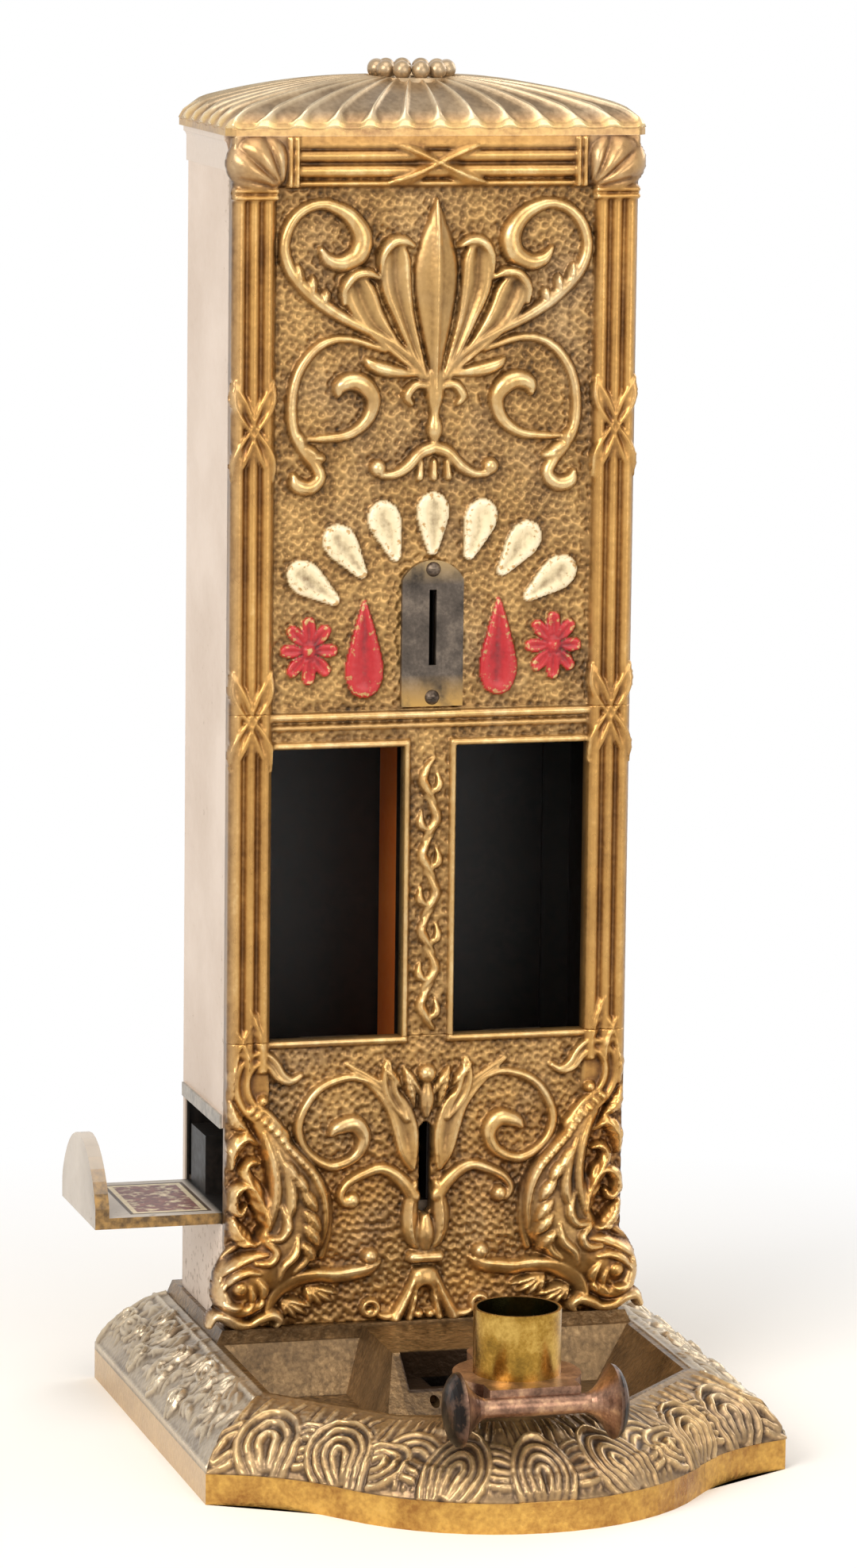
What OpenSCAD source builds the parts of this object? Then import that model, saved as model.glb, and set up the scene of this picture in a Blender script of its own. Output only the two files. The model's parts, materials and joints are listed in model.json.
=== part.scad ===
// Counter match vendor: a cast front and roof on a sheet body, a bow-front ash-tray base with a cigar cutter,
// and a side slide that hands out one box of matches for a coin.
// Frame: X to the right, Y from the front to the back, Z up. X = 0 is the middle plane, Y = 0 the face of the
// pilasters and Z = 0 the face that rests on the counter.

/* [Front casting] */
// Width of the front across both pilasters
front_w = 110; // [98:1:126]
// Thickness of the cast panel
panel_t = 3.5; // [2.5:0.5:6]
// Depth of the panel's face behind the pilasters' face
panel_recess = 1.5; // [1:0.25:3]
// Width of one pilaster
pilaster_w = 11.4; // [9:0.2:14]
// Height of the panel below the windows
lower_h = 77.8; // [74:0.2:86]
// Height of a window opening
window_h = 78.5; // [60:0.5:100]
// Height of the rail above the windows
mid_rail_h = 9.7; // [8:0.1:14]
// Height of the panel with the palmette
upper_h = 138.7; // [132:0.1:160]
// Height of the top rail
top_rail_h = 13.2; // [12:0.1:18]
// Width of the bar between the windows
mullion_w = 14.2; // [13:0.2:18]
// Radius of a pilaster reed
reed_r = 1.7; // [1.2:0.1:1.8]
// Radius of a top rail reed
rail_reed_r = 1.9; // [1.4:0.1:2]
// Radius of the shell bosses at the top corners
boss_r = 7.4; // [5:0.2:7.6]
// Height of the scroll relief above the panel
scroll_t = 1.3; // [0.8:0.1:2]

/* [Sheet body] */
// Depth from the pilasters' face to the rear of the side panels
body_d = 52; // [50:0.5:70]
// Thickness of the sheet metal
sheet = 1.2; // [0.8:0.1:1.6]
// Width of the rear flange of a side panel
flange_w = 7.8; // [6:0.2:9]
// Thickness of the body's floor plate
floor_t = 2; // [1.5:0.5:3]
// Height of the delivery opening above the slide's bed
opening_h = 26.4; // [24:0.2:34]
// Radius of a side panel's flush rivet
rivet_r = 1.5; // [1:0.1:2]

/* [Glass] */
// Thickness of a window glass
glass_t = 2; // [1.5:0.5:3]
// Overlap of the glass behind the window's edge
glass_lap = 2; // [1.5:0.5:2.5]

/* [Coin parts] */
// Diameter of the coin
coin_d = 19.05; // [16:0.05:21]
// Thickness of the coin
coin_t = 1.55; // [1.2:0.05:1.8]
// Extra height of the coin slot
slot_clear_h = 1.15; // [0.6:0.05:2]
// Extra width of the coin slot
slot_clear_w = 0.45; // [0.2:0.05:0.8]
// Width of the coin plate
plate_w = 16.8; // [14:0.2:20]
// Height of the coin plate
plate_h = 39; // [36:0.5:46]
// Thickness of the coin plate
plate_t = 1.5; // [1:0.1:2]
// Height of the coin slit in the lower panel
slit_h = 25.1; // [20:0.1:28]
// Width of the coin slit
slit_w = 3.4; // [2.6:0.1:4]
// Radius of a round screw head
head_r = 2.2; // [1.8:0.1:2.6]

/* [Delivery slide] */
// Gap between the rear guide and the flanges of the side panels
guide_back = 1.3; // [0.8:0.1:4]
// Thickness of the slide's plate
slide_t = 3; // [2:0.2:4]
// Height of the slide's underside above the body's seat
slide_lift = 27.7; // [25:0.1:32]
// Length of the slide that shows outside the left panel
slide_show = 30.7; // [24:0.1:40]
// Further travel outward from the shown place
slide_more = 6; // [2:0.5:8]
// Thickness of the slide's end plate
end_t = 3.8; // [3:0.2:5]
// Height of the end plate
end_h = 21.8; // [16:0.2:26]
// Length of the block that holds up the column of boxes
tail_len = 37; // [30:0.5:38]
// Height of that block above the plate
tail_h = 16; // [12:0.2:16.2]

/* [Roof] */
// Rise of the roof from its eave to its crown
roof_rise = 9.2; // [7:0.1:16]
// Overhang of the eave beyond the sides
eave_over = 2; // [1.6:0.2:4]
// Height of the eave's rolled edge
eave_t = 4.9; // [3:0.1:6]
// Height of the cove under the eave
cove_h = 9.4; // [7:0.2:11]
// Wall of the roof casting
roof_wall = 2.5; // [2:0.1:3.5]
// Radius of a bead on the crown
bead_r = 2.5; // [1.8:0.1:3]
// Radius of the ring of beads
bead_ring_r = 9.6; // [7:0.2:12]

/* [Base] */
// Width of the base's rim beside the body
base_side = 23; // [19:0.5:32]
// Reach of the bow in front of the body's face
base_front = 119.5; // [116:0.5:130]
// Reach of the front corners in front of the body's face
base_corner = 74.5; // [70:0.5:80]
// Reach of the base behind the body's face
base_back = 59; // [56:0.5:72]
// Radius of the bow
bow_r = 58; // [54:1:70]
// Half width of the bow, where it turns hollow
bow_half = 47; // [42:0.5:50]
// Height of the base's upright edge
edge_h = 8; // [6:0.5:10]
// Height of the rim's crest
crest_h = 23; // [20:0.5:26]
// Height of the seat under the body
seat_h = 26.5; // [24:0.5:30]
// Height of the ash recess's floor
recess_floor = 10; // [9:0.5:13]
// Distance from the body's side to the rim's crest
crest_step = 3; // [3:0.5:6]
// Depth of the hollow under the base
hollow_h = 7; // [4:0.5:7.5]
// Thickness of the base plate
base_plate_t = 1.5; // [1:0.1:2]

/* [Cigar cutter] */
// Outside diameter of the cigar tube
tube_d = 22.6; // [18:0.2:24]
// Wall of the cigar tube
tube_wall = 0.9; // [0.6:0.1:1.5]
// Height of the cigar tube
tube_h = 17; // [12:0.5:28]
// Distance of the tube's axis behind the bow's front
tube_back = 30; // [28:0.5:34]
// Gap between the tube and the head of the lever's pivot
pivot_gap = 5.6; // [4:0.2:7]
// Thickness of the lever's plate
lever_t = 4; // [3:0.2:5]
// Radius of the lever's bar
bar_r = 2.6; // [2:0.1:3]
// Radius of a knob
knob_r = 9.7; // [8:0.1:10]
// Half length of the lever over its knobs
lever_half = 24; // [22:0.2:27]
// Thickness of the blade
blade_t = 1.9; // [1.2:0.1:2.4]
// Radius of the pivot screw's shank
pivot_r = 2.5; // [2:0.1:3]

/* [Back door] */
// Radius of a hinge knuckle
knuckle_r = 2.2; // [1.9:0.1:2.6]
// Radius of a hinge pin
hinge_pin_r = 1.1; // [0.8:0.05:1.3]
// Length of a hinge knuckle
knuckle_l = 8; // [6:0.5:12]
// Radius of the lock's barrel
lock_r = 4; // [3.5:0.1:4.5]

/* [Hidden] */
$fn = 48;
// Gaps between pieces that slide or turn, and between pieces that are only set together
slide_gap = 0.1;
run_gap = 0.05;
set_gap = 0.2;
eps = 0.2;

// Levels of the front
z_seat = seat_h;
z_sill = z_seat + lower_h;
z_lintel = z_sill + window_h;
z_upper = z_lintel + mid_rail_h;
z_rail = z_upper + upper_h;
z_top = z_rail + top_rail_h;
// Faces along the depth
y_panel = panel_recess;
y_in = panel_recess + panel_t;
y_flange = body_d - sheet;
// Half widths
half_w = front_w / 2;
half_in = half_w - sheet;
half_panel = half_w - pilaster_w;
half_mullion = mullion_w / 2;
pilaster_x = half_w - pilaster_w / 2;
// Place of a corner boss: in from the side, down from the top and back from the panel's face
boss_in = 6.4;
boss_drop = 6.6;
boss_sink = 1.2;
// Side panels
z_side_top = z_top - cove_h;
lug_w = 3.8;
lug_d = 7;
lug_h = 8;
lug_foot = 5;
lug_sill = 9;
lug_upper = 8;
lug_rail = 12;
lug_levels = [z_seat + lug_foot, z_sill - lug_sill, z_upper + lug_upper, z_rail - lug_rail];
// Slide, bed and guides
z_slide = z_seat + slide_lift;
z_slide_top = z_slide + slide_t;
bed_t = 1.6;
z_bed = z_slide - slide_gap;
guide_web = 1;
guide_lip = 2;
guide_lip_t = 1;
slide_y0 = y_in + guide_web + slide_gap;
slide_y1 = y_flange - guide_back - guide_web - slide_gap;
slide_w = slide_y1 - slide_y0;
slide_mid = (slide_y0 + slide_y1) / 2;
slide_in = half_w + slide_show;
slide_home = slide_show - 2 * set_gap;
tail_in = 17;
tail_gap = 2.35;
tail_x1 = -tail_in;
tail_x0 = tail_x1 - tail_len;
tail_y1 = slide_y1 - guide_lip - set_gap;
tail_wall = 1.5;
z_tail = z_slide_top + tail_h;
// Stop pin and its groove under the slide
stop_r = 1.4;
stop_in = 15;
stop_x = -(half_w - stop_in);
stop_y = slide_y0 + 11.9;
stop_h = 1.8;
// Coin path
slot_h = coin_d + slot_clear_h;
slot_w = coin_t + slot_clear_w;
plate_lift = 1;
slot_share = 0.54;
plate_z = z_upper + plate_lift;
slot_z = plate_z + plate_h * slot_share;
screw_inset = 2.4;
slit_drop = 1.7;
slit_z = z_slide_top - slit_drop;
slit_screw_z = z_sill - 10.7;
chute_half = slot_w / 2 + 0.3;
chute_wall = 1;
chute_d = coin_d + 3;
chute_y1 = y_in + chute_d;
tail_y0 = chute_y1 + tail_gap;
z_chute = z_slide_top + guide_lip_t + 0.5;
chute_top = plate_z + plate_h - 1;
chute_foot_w = 4.7;
chute_foot_h = 6;
chute_foot_levels = [z_sill - glass_lap - chute_foot_h - 4, z_lintel + glass_lap + 2];
// Magazine
mag_floor_t = 1.2;
z_mag = z_tail + 2 * set_gap + mag_floor_t + 0.2;
z_mag_top = z_rail - 2;
mag_y1 = y_flange - set_gap;
// Coin latch under the magazine's floor
latch_x = 9;
latch_z = z_slide_top + 8.8;
latch_hub_r = 3;
latch_pin_r = 1.5;
latch_y0 = y_in + 10;
latch_t = 4;
tooth_w = 2.4;
cheek_t = 1.8;
// Glass
glass_z0 = z_sill - glass_lap;
glass_z1 = z_lintel + glass_lap;
glass_x0 = half_mullion - glass_lap;
glass_x1 = half_panel + glass_lap;
clip_l = 16;
clip_t = 1;
clip_foot = 3;
clip_x = (glass_x0 + glass_x1) / 2;
small_screw_r = 1.2;
roof_screw_r = 1.5;
roof_screw_in = 0.6;
// Depth that a cut from the front starts before the face, and the web left in front of a blind hole
front_reach = 10;
blind = 0.8;
// Roof
roof_half = half_w + eave_over;
roof_y0 = -eave_over / 2;
roof_back = 5;
roof_y1 = body_d + roof_back;
roof_cy = (roof_y0 + roof_y1) / 2;
z_crown = z_top + eave_t + roof_rise;
roof_boss_x = half_w - 15;
roof_boss_y = y_in + 6;
roof_boss_r = 4;
roof_lug_t = 3;
roof_lug_half = 5;
roof_lug_drop = 3.4;
// Base
base_half = half_w + base_side;
crest_half = half_w + crest_step;
bow_cy = -base_front + bow_r;
bow_y = bow_cy - sqrt(bow_r * bow_r - bow_half * bow_half);
bow_angle = asin(bow_half / bow_r);
bow_normal = [bow_half, bow_y - bow_cy] / bow_r;
corner_step = [base_half, -base_corner] - [bow_half, bow_y];
hollow_r = (corner_step * corner_step) / (2 * (corner_step * bow_normal));
hollow_c = [bow_half, bow_y] + hollow_r * bow_normal;
hollow_a0 = atan2(-bow_normal[1], -bow_normal[0]);
hollow_a1 = atan2(-base_corner - hollow_c[1], base_half - hollow_c[0]);
// Width of the rim in front, where its crest bends and at the front corners, and the bend's share of the width
rim_front = 27.5;
rim_bend = 35;
rim_corner = 20.5;
bend_share = 0.394;
crest_front = base_front - rim_front;
crest_bend = [base_half * bend_share, -(base_front - rim_bend)];
crest_side = base_corner - rim_corner;
land = 1.6;
recess_slope = 11;
seat_half = half_w + 1.2;
seat_flare = 2;
recess_back = 3;
// Middle block of the recess with its pocket
block_top_half = 17.5;
block_foot_half = 25;
block_front = 33;
block_foot_front = 56;
block_drop = 0.5;
pocket_half = 15.5;
pocket_y = 31;
pocket_drop = 4.5;
pocket_z = crest_h - pocket_drop;
hole_half = 9;
hole_y = 9;
pin_hole_r = 1.3;
pin_hole_x = 9.5;
pin_hole_drop = 2.6;
// Cutter
post_r = 6;
post_rise = 5.5;
z_post = crest_h + post_rise;
z_lever = z_post + blade_t + slide_gap;
z_plate = z_lever + lever_t;
tube_r = tube_d / 2;
tube_reach = base_front - tube_back;
bore_r = tube_r - tube_wall;
pivot_head_r = 4.6;
pivot_head_h = 2;
pivot_reach = tube_reach - tube_r - pivot_head_r - pivot_gap;
bar_step = 6.2;
plate_step = 5.2;
blade_step = 2.7;
bar_drop = 0.6;
knob_l = 11;
bar_reach = tube_reach + tube_r + bar_step;
lever_plate_r = tube_r + plate_step;
blade_r = tube_r + blade_step;
z_bar = z_lever - bar_drop;
knob_neck = lever_half - knob_l;
pocket_front = min(block_foot_front + eps, pivot_reach - post_r - set_gap);
// Base plate and screws
plate_margin = 12;
plate_back = 4;
screw_in = 6;
hollow_in = 24;
hollow_back = 8;
base_screw_r = 2;
body_screw_r = 2;
body_screw_l = 12;
body_screw_head = 1.6;
body_screw_in = 15;
body_screw_front = 9;
body_screw_back = 10;
body_screw_x = half_w - body_screw_in;
body_screw_y = [y_in + body_screw_front, body_d - body_screw_back];
// Door and hinge
door_gap = 0.1;
door_in = 0.6;
door_y0 = body_d + door_gap;
door_y1 = door_y0 + sheet;
hinge_x = half_w - 1.8;
hinge_y = body_d + 3.2;
hinge_low = 54;
hinge_high = 60;
hinge_levels = [z_seat + hinge_low, z_rail - hinge_high];
door_z0 = z_seat + 1.5;
door_z1 = z_side_top - 1;
door_rim = 4;
lock_x = -(half_in - flange_w - lock_r - 2);
lock_z = z_upper - 12;
lock_head_r = lock_r + 1.5;
lock_head_t = 2;
plug_r = lock_r - 1.4;
cam_l = 11;
cam_w = 6;
cam_t = 1.6;
cam_y1 = y_flange - 0.4;
// Cash box
cash_wall = 1;
cash_half = half_in - 6;
cash_y0 = y_in + 3;
cash_y1 = mag_y1 - 1;
z_cash = z_seat + floor_t;
cash_h = slide_lift - floor_t - bed_t - 3;

// Centre lines of the scrolls on the right half, as X and the height above the panel's lower edge
outer_scroll = [
    [0.5, 85.5], [7, 95.5], [19, 103.5], [30, 110], [37.5, 117], [40.2, 124.5], [37.5, 131],
    [30.5, 134], [23.5, 131.3], [20.3, 125.5], [22.5, 119.5], [27.5, 118.1], [30.6, 120.9]
];
stem_scroll = [
    [13.5, 97.3], [22, 98.5], [32, 95.9], [37.2, 88.5], [37.3, 79], [34, 70.5], [29.5, 64],
    [31, 58.7], [35.5, 58.1], [38, 61]
];
inner_scroll = [[33, 72], [27, 72.1], [19, 75.5], [14.8, 81.3], [17, 86.8], [22.5, 87.8], [25.3, 85.1]];
tall_lobe = [[1, 87], [8.3, 104], [13.8, 114.5], [15, 120.5], [12, 124.7], [7.5, 124.5]];
short_lobe = [[2.9, 87.5], [13.6, 100.5], [21, 107], [23.6, 112], [21, 115.5], [17.2, 114]];
foot_scroll = [[1, 68.5], [6, 68], [10, 63.5], [13.5, 62], [15, 64]];
lower_scroll = [
    [10.5, 58.9], [15.5, 64], [22.5, 67.2], [30.5, 63.8], [35.2, 55.5], [33.5, 48], [26.6, 43.4],
    [20, 45.5], [17.4, 50.5], [20, 54.5], [24.6, 53.7]
];
vase_scroll = [[3.5, 34.8], [9, 37], [15, 41.1], [21, 39.3], [23.5, 34], [21.5, 30.8], [19.2, 32]];
horn = [[43, 5], [38, 8.7], [31, 10.6], [22, 10.7], [15.6, 12], [12.3, 13.5]];
vine = [[0, 3], [1.8, 12], [-1.8, 22], [1.8, 33], [-1.8, 44], [1.6, 54], [-1.2, 63], [0.4, 71]];
// Dolphin from tail to head: X, height, half width and height of its rounded back
dolphin_line = [
    [40, 67, 0.8, 1], [43.3, 71.5, 1.6, 2], [47.6, 67.5, 2.2, 2.6], [48.3, 61, 3, 3.2], [43.5, 53, 4.2, 4],
    [37.5, 44.5, 5.6, 4.6], [34.5, 35.5, 7, 5.2], [35.5, 26.5, 7.4, 5.6], [40, 19.5, 7.2, 6],
    [46.5, 15, 7.2, 6.4], [52, 12, 6.4, 6]
];

// Palmette's middle leaf and small vase, and the leaf round the slit with the vase under it
palmette = lens(4.7, 86.5, 135.5, 1.25);
small_vase = [[-3, 84], [3, 84], [1.6, 78], [2.6, 72], [-2.6, 72], [-1.6, 78]];
slit_leaf = lens(6.2, 18, 62, 1);
lower_vase = [[-5, 0], [5, 0], [2, 13], [3.4, 15], [3.4, 18], [-3.4, 18], [-3.4, 15], [-2, 13]];
// Ribbons: centre line, half width in the middle, half width at the tips and height beside the scrolls' height
upper_ribbons = [
    [outer_scroll, 1.9, 0.7, 0], [stem_scroll, 1.7, 0.7, -0.15], [inner_scroll, 1.6, 0.7, -0.3],
    [tall_lobe, 2.6, 1, 0.3], [short_lobe, 2.2, 0.9, 0.1], [foot_scroll, 1.3, 0.9, -0.2]
];
lower_ribbons = [[lower_scroll, 1.7, 0.7, -0.2], [vase_scroll, 1.6, 0.7, -0.3], [horn, 2.4, 0.6, 0.8]];
vine_ribbon = [vine, 0.8, 0.5, -0.4];
scroll_ball = [14.5, 16.9];
scroll_ball_r = 2;
dolphin_head = [51.6, 11.6];
dolphin_head_r = 6.2;
// Half width of the front for which the dolphins are drawn
drawn_half_w = 55;
// Stretch of the drawn ornament to the panels, as width and height
upper_fit = [half_panel / 43.6, upper_h / 138.7];
lower_fit = [half_panel / 43.6, lower_h / 77.8];
mullion_fit = [half_mullion / 7.1, window_h / 78.5];

// Block between two corners given as [from, to] along each axis
module span(x, y, z)
    translate([x[0], y[0], z[0]])
        cube([x[1] - x[0], y[1] - y[0], z[1] - z[0]]);

// Round rods along each axis, from and to given as a pair
module rod_x(r, x, y, z)
    translate([x[0], y, z])
        rotate([0, 90, 0])
            cylinder(r = r, h = x[1] - x[0]);

module rod_y(r, x, y, z)
    translate([x, y[1], z])
        rotate([90, 0, 0])
            cylinder(r = r, h = y[1] - y[0]);

module rod_z(r, x, y, z)
    translate([x, y, z[0]])
        cylinder(r = r, h = z[1] - z[0]);

module both() {
    children();
    mirror([1, 0, 0])
        children();
}

// Smooth curve through points, in steps per stretch
function bend(a, b, c, d, t) =
    0.5 * (2 * b + (c - a) * t + (2 * a - 5 * b + 4 * c - d) * t * t + (3 * b - a - 3 * c + d) * t * t * t);
function smooth(p, steps) = concat(
    [for (i = [0 : len(p) - 2], k = [0 : steps - 1])
        bend(p[max(i - 1, 0)], p[i], p[i + 1], p[min(i + 2, len(p) - 1)], k / steps)],
    [p[len(p) - 1]]);
function plan(v) = [v[0], v[1]];
function fitted(line, fit) = [for (p = line) [p[0] * fit[0], p[1] * fit[1]]];
function side(q, i) =
    let (d = plan(q[min(i + 1, len(q) - 1)]) - plan(q[max(i - 1, 0)]))
    [-d[1], d[0]] / norm(d);

// Ribbon of relief along a centre line, widest in its middle, standing on the panel's face
module ribbon(r, z0, fit) {
    q = smooth(fitted(r[0], fit), 4);
    n = len(q) - 1;
    function width(i) = r[2] + (r[1] - r[2]) * sin(180 * i / n);
    left = [for (i = [0 : n]) plan(q[i]) + side(q, i) * width(i)];
    right = [for (i = [n : -1 : 0]) plan(q[i]) - side(q, i) * width(i)];
    translate([0, y_panel + eps, z0])
        rotate([90, 0, 0])
            linear_extrude(height = scroll_t + r[3] + eps)
                polygon(concat(left, right));
}

// Flat relief from an outline of X and height
module relief(points, z0, h, fit)
    translate([0, y_panel + eps, z0])
        rotate([90, 0, 0])
            linear_extrude(height = h + eps)
                polygon(fitted(points, fit));

// Leaf or lens outline between two heights
function lens(w, z0, z1, bulge) = concat(
    [for (k = [0 : 12]) [w * sin(180 * pow(k / 12, bulge)), z0 + (z1 - z0) * k / 12]],
    [for (k = [11 : -1 : 1]) [-w * sin(180 * pow(k / 12, bulge)), z0 + (z1 - z0) * k / 12]]);

// Rounded body swept along a line of X, height, half width and height of its back
module swell(line, z0) {
    q = smooth(line, 2);
    n = len(q) - 1;
    m = 6;
    y_root = y_panel + eps;
    function point(i, k) =
        let (s = plan(q[i]) + side(q, i) * q[i][2] * cos(180 * k / m))
        [s[0], y_root - (q[i][3] + eps) * sin(180 * k / m), z0 + s[1]];
    pts = [for (i = [0 : n], k = [0 : m]) point(i, k)];
    row = m + 1;
    skin = [for (i = [0 : n - 1], k = [0 : m - 1], t = [0, 1])
        t == 0 ? [i * row + k, (i + 1) * row + k, i * row + k + 1]
               : [i * row + k + 1, (i + 1) * row + k, (i + 1) * row + k + 1]];
    back = [for (i = [0 : n - 1], t = [0, 1])
        t == 0 ? [i * row + m, (i + 1) * row + m, i * row] : [i * row, (i + 1) * row + m, (i + 1) * row]];
    ends = [[for (k = [0 : m]) k], [for (k = [m : -1 : 0]) n * row + k]];
    polyhedron(points = pts, faces = concat(skin, back, ends));
}

// Two crossed ribbon bands, turned so that they bind an upright or a level moulding
module ribbon_cross(x, z, lean, reach) {
    band = 2.6;
    proud = 1.7;
    for (a = [-lean, lean])
        translate([x, 0, z])
            rotate([0, a, 0])
                span([-band / 2, band / 2], [-proud, y_panel + eps], [-reach, reach]);
}

module pilaster() {
    strip = 0.9;
    strip_foot = z_seat + 60;
    reed_foot = z_seat + 74;
    reed_sink = 0.1;
    crosses = [z_upper + 74.8, z_lintel + 7.9];
    lean = 24;
    reach = 11;
    span([half_panel, half_w], [y_panel - strip, y_panel + eps], [strip_foot, z_rail + eps]);
    for (k = [1, 3, 5])
        rod_z(reed_r, half_panel + pilaster_w * k / 6, y_panel - strip + reed_sink, [reed_foot, z_rail + eps]);
    for (z = crosses)
        ribbon_cross(pilaster_x, z, lean, reach);
}

module top_rail() {
    fascia = 3.4;
    proud = 1;
    fillet_r = 0.9;
    reeds = [5.2, 9.1];
    reed_proud = 0.6;
    fillet_proud = 0.2;
    cross_z = z_rail + 6.2;
    lean = 62;
    reach = 11;
    x = [-half_w + boss_in, half_w - boss_in];
    span([-half_w, half_w], [-proud, y_panel + eps], [z_top - fascia, z_top]);
    for (drop = reeds)
        rod_x(rail_reed_r, x, y_panel - reed_proud, z_top - drop);
    rod_x(fillet_r, x, y_panel - fillet_proud, z_rail + fillet_r);
    ribbon_cross(0, cross_z, lean, reach);
}

// Fillet and reed of the rail over the windows
module mid_rail() {
    band = 2.2;
    proud = 1;
    reed = 1.3;
    x = [-half_panel, half_panel];
    span(x, [y_panel - proud, y_panel + eps], [z_upper - band, z_upper]);
    rod_x(reed, x, y_panel, z_lintel + mid_rail_h / 2);
}

module corner_boss()
    intersection() {
        translate([half_w - boss_in, y_panel + boss_sink, z_top - boss_drop])
            sphere(r = boss_r);
        span([0, half_w + boss_r], [-boss_r, y_in - eps], [z_rail - boss_r, z_top]);
    }

module window_border() {
    lip = 1.3;
    rise = 0.7;
    x = [half_mullion - lip, half_panel + lip];
    span(x, [y_panel - rise, y_panel + eps], [z_sill - lip, z_lintel + lip]);
}

module front_relief() {
    // Palmette, scrolls and foot of the upper panel
    relief(palmette, z_upper, scroll_t + 0.6, upper_fit);
    relief(small_vase, z_upper, scroll_t - 0.4, upper_fit);
    // Scrolls, slit surround, vase and dolphins of the lower panel
    relief(slit_leaf, z_seat, scroll_t - 0.1, lower_fit);
    relief(lower_vase, z_seat, scroll_t, lower_fit);
    both() {
        for (r = upper_ribbons)
            ribbon(r, z_upper, upper_fit);
        for (r = lower_ribbons)
            ribbon(r, z_seat, lower_fit);
        translate([half_w - drawn_half_w, 0, 0]) {
            swell(dolphin_line, z_seat);
            dolphin_brow();
            foot_curl();
        }
        translate([scroll_ball[0], y_panel, z_seat + scroll_ball[1]])
            sphere(r = scroll_ball_r);
    }
    ribbon(vine_ribbon, z_sill, mullion_fit);
}

// Round head of a dolphin in front of the panel
module dolphin_brow() {
    r = dolphin_head_r;
    x = dolphin_head[0];
    z = z_seat + dolphin_head[1];
    sink = 0.6;
    intersection() {
        translate([x, y_panel - sink, z])
            sphere(r = r);
        span([x - r, x + r], [y_panel - sink - r, y_panel + eps], [z - r, z + r]);
    }
}

// Scrolled foot of a dolphin
module foot_curl() {
    curl_r = 2.4;
    proud = 3.6;
    ends = [43.2, 57.4];
    lift = 0.3;
    bar_h = 2;
    bar_in = 0.4;
    for (x = ends)
        rod_y(curl_r, x, [-proud, y_panel + eps], z_seat + curl_r + lift);
    span(ends, [-proud + bar_in, y_panel + eps], [z_seat, z_seat + bar_h]);
}

module front_lugs() {
    for (z = lug_levels)
        span([half_in - lug_w, half_in], [y_in - eps, y_in + lug_d], [z, z + lug_h]);
    span([roof_boss_x - roof_lug_half, roof_boss_x + roof_lug_half], [y_in - eps, roof_boss_y + roof_lug_half],
        [z_top - roof_lug_drop - roof_lug_t, z_top - roof_lug_drop]);
}

module front_cuts() {
    both()
        span([half_mullion, half_panel], [-front_reach, y_in + eps], [z_sill, z_lintel]);
    slot_margin = 0.6;
    span([-slot_w / 2 - slot_margin, slot_w / 2 + slot_margin], [-front_reach, y_in + eps],
        [slot_z - slot_h / 2 - slot_margin, slot_z + slot_h / 2 + slot_margin]);
    span([-slit_w / 2, slit_w / 2], [-front_reach, y_in + eps], [slit_z + slit_w / 2, slit_z + slit_h - slit_w / 2]);
    for (z = [slit_z + slit_w / 2, slit_z + slit_h - slit_w / 2])
        rod_y(slit_w / 2, 0, [-front_reach, y_in + eps], z);
    for (z = [plate_z + screw_inset, plate_z + plate_h - screw_inset])
        rod_y(small_screw_r + run_gap, 0, [-front_reach, y_in + eps], z);
    rod_y(small_screw_r + run_gap, 0, [-front_reach, y_in + eps], slit_screw_z);
    both() {
        for (z = lug_levels)
            rod_x(rivet_r + run_gap, [half_in - lug_w - eps, half_in + eps], y_in + lug_d / 2, z + lug_h / 2);
        rod_z(roof_screw_r + run_gap, roof_boss_x, roof_boss_y, [z_rail, z_top + eps]);
        for (z = [clip_level(0), clip_level(1)])
            rod_y(small_screw_r + run_gap, clip_x, [y_panel + blind, y_in + eps], z);
        for (z = chute_foot_levels)
            rod_y(small_screw_r + run_gap, chute_screw_x(), [y_panel + blind, y_in + eps], z + chute_foot_h / 2);
    }
}

function clip_level(k) = k == 0 ? glass_z0 - clip_foot / 2 - set_gap : glass_z1 + clip_foot / 2 + set_gap;
function chute_screw_x() = chute_half + chute_wall + chute_foot_w / 2;

module front_casting()
    color("#b98a3c")
        difference() {
            union() {
                span([-half_w, half_w], [y_panel, y_in], [z_seat, z_top]);
                both() {
                    pilaster();
                    corner_boss();
                    window_border();
                    front_lugs();
                }
                top_rail();
                mid_rail();
                front_relief();
            }
            front_cuts();
        }

// Side panel of the right, with its rear flange
module panel_sheet() {
    span([half_in, half_w], [y_in, body_d], [z_seat, z_side_top]);
    span([half_in - flange_w, half_in + eps], [y_flange, body_d], [z_seat, z_side_top]);
}

module panel_holes()
    for (z = lug_levels)
        rod_x(rivet_r + run_gap, [half_in - eps, half_w + eps], y_in + lug_d / 2, z + lug_h / 2);

module left_side_panel() {
    hood_h = 3.7;
    hood_out = 1;
    opening_y1 = slide_y1 + slide_gap + guide_web;
    color("#ead9cb")
        mirror([1, 0, 0])
            difference() {
                union() {
                    panel_sheet();
                    span([half_w - eps, half_w + hood_out], [y_in, opening_y1],
                        [z_bed + opening_h, z_bed + opening_h + hood_h]);
                }
                panel_holes();
                span([half_in - eps, half_w + eps], [y_in - eps, opening_y1], [z_bed, z_bed + opening_h]);
            }
}

module hinge_knuckle(z, l) {
    difference() {
        union() {
            rod_z(knuckle_r, hinge_x, hinge_y, [z, z + l]);
            children();
        }
        rod_z(hinge_pin_r + run_gap, hinge_x, hinge_y, [z - eps, z + l + eps]);
    }
}

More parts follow.
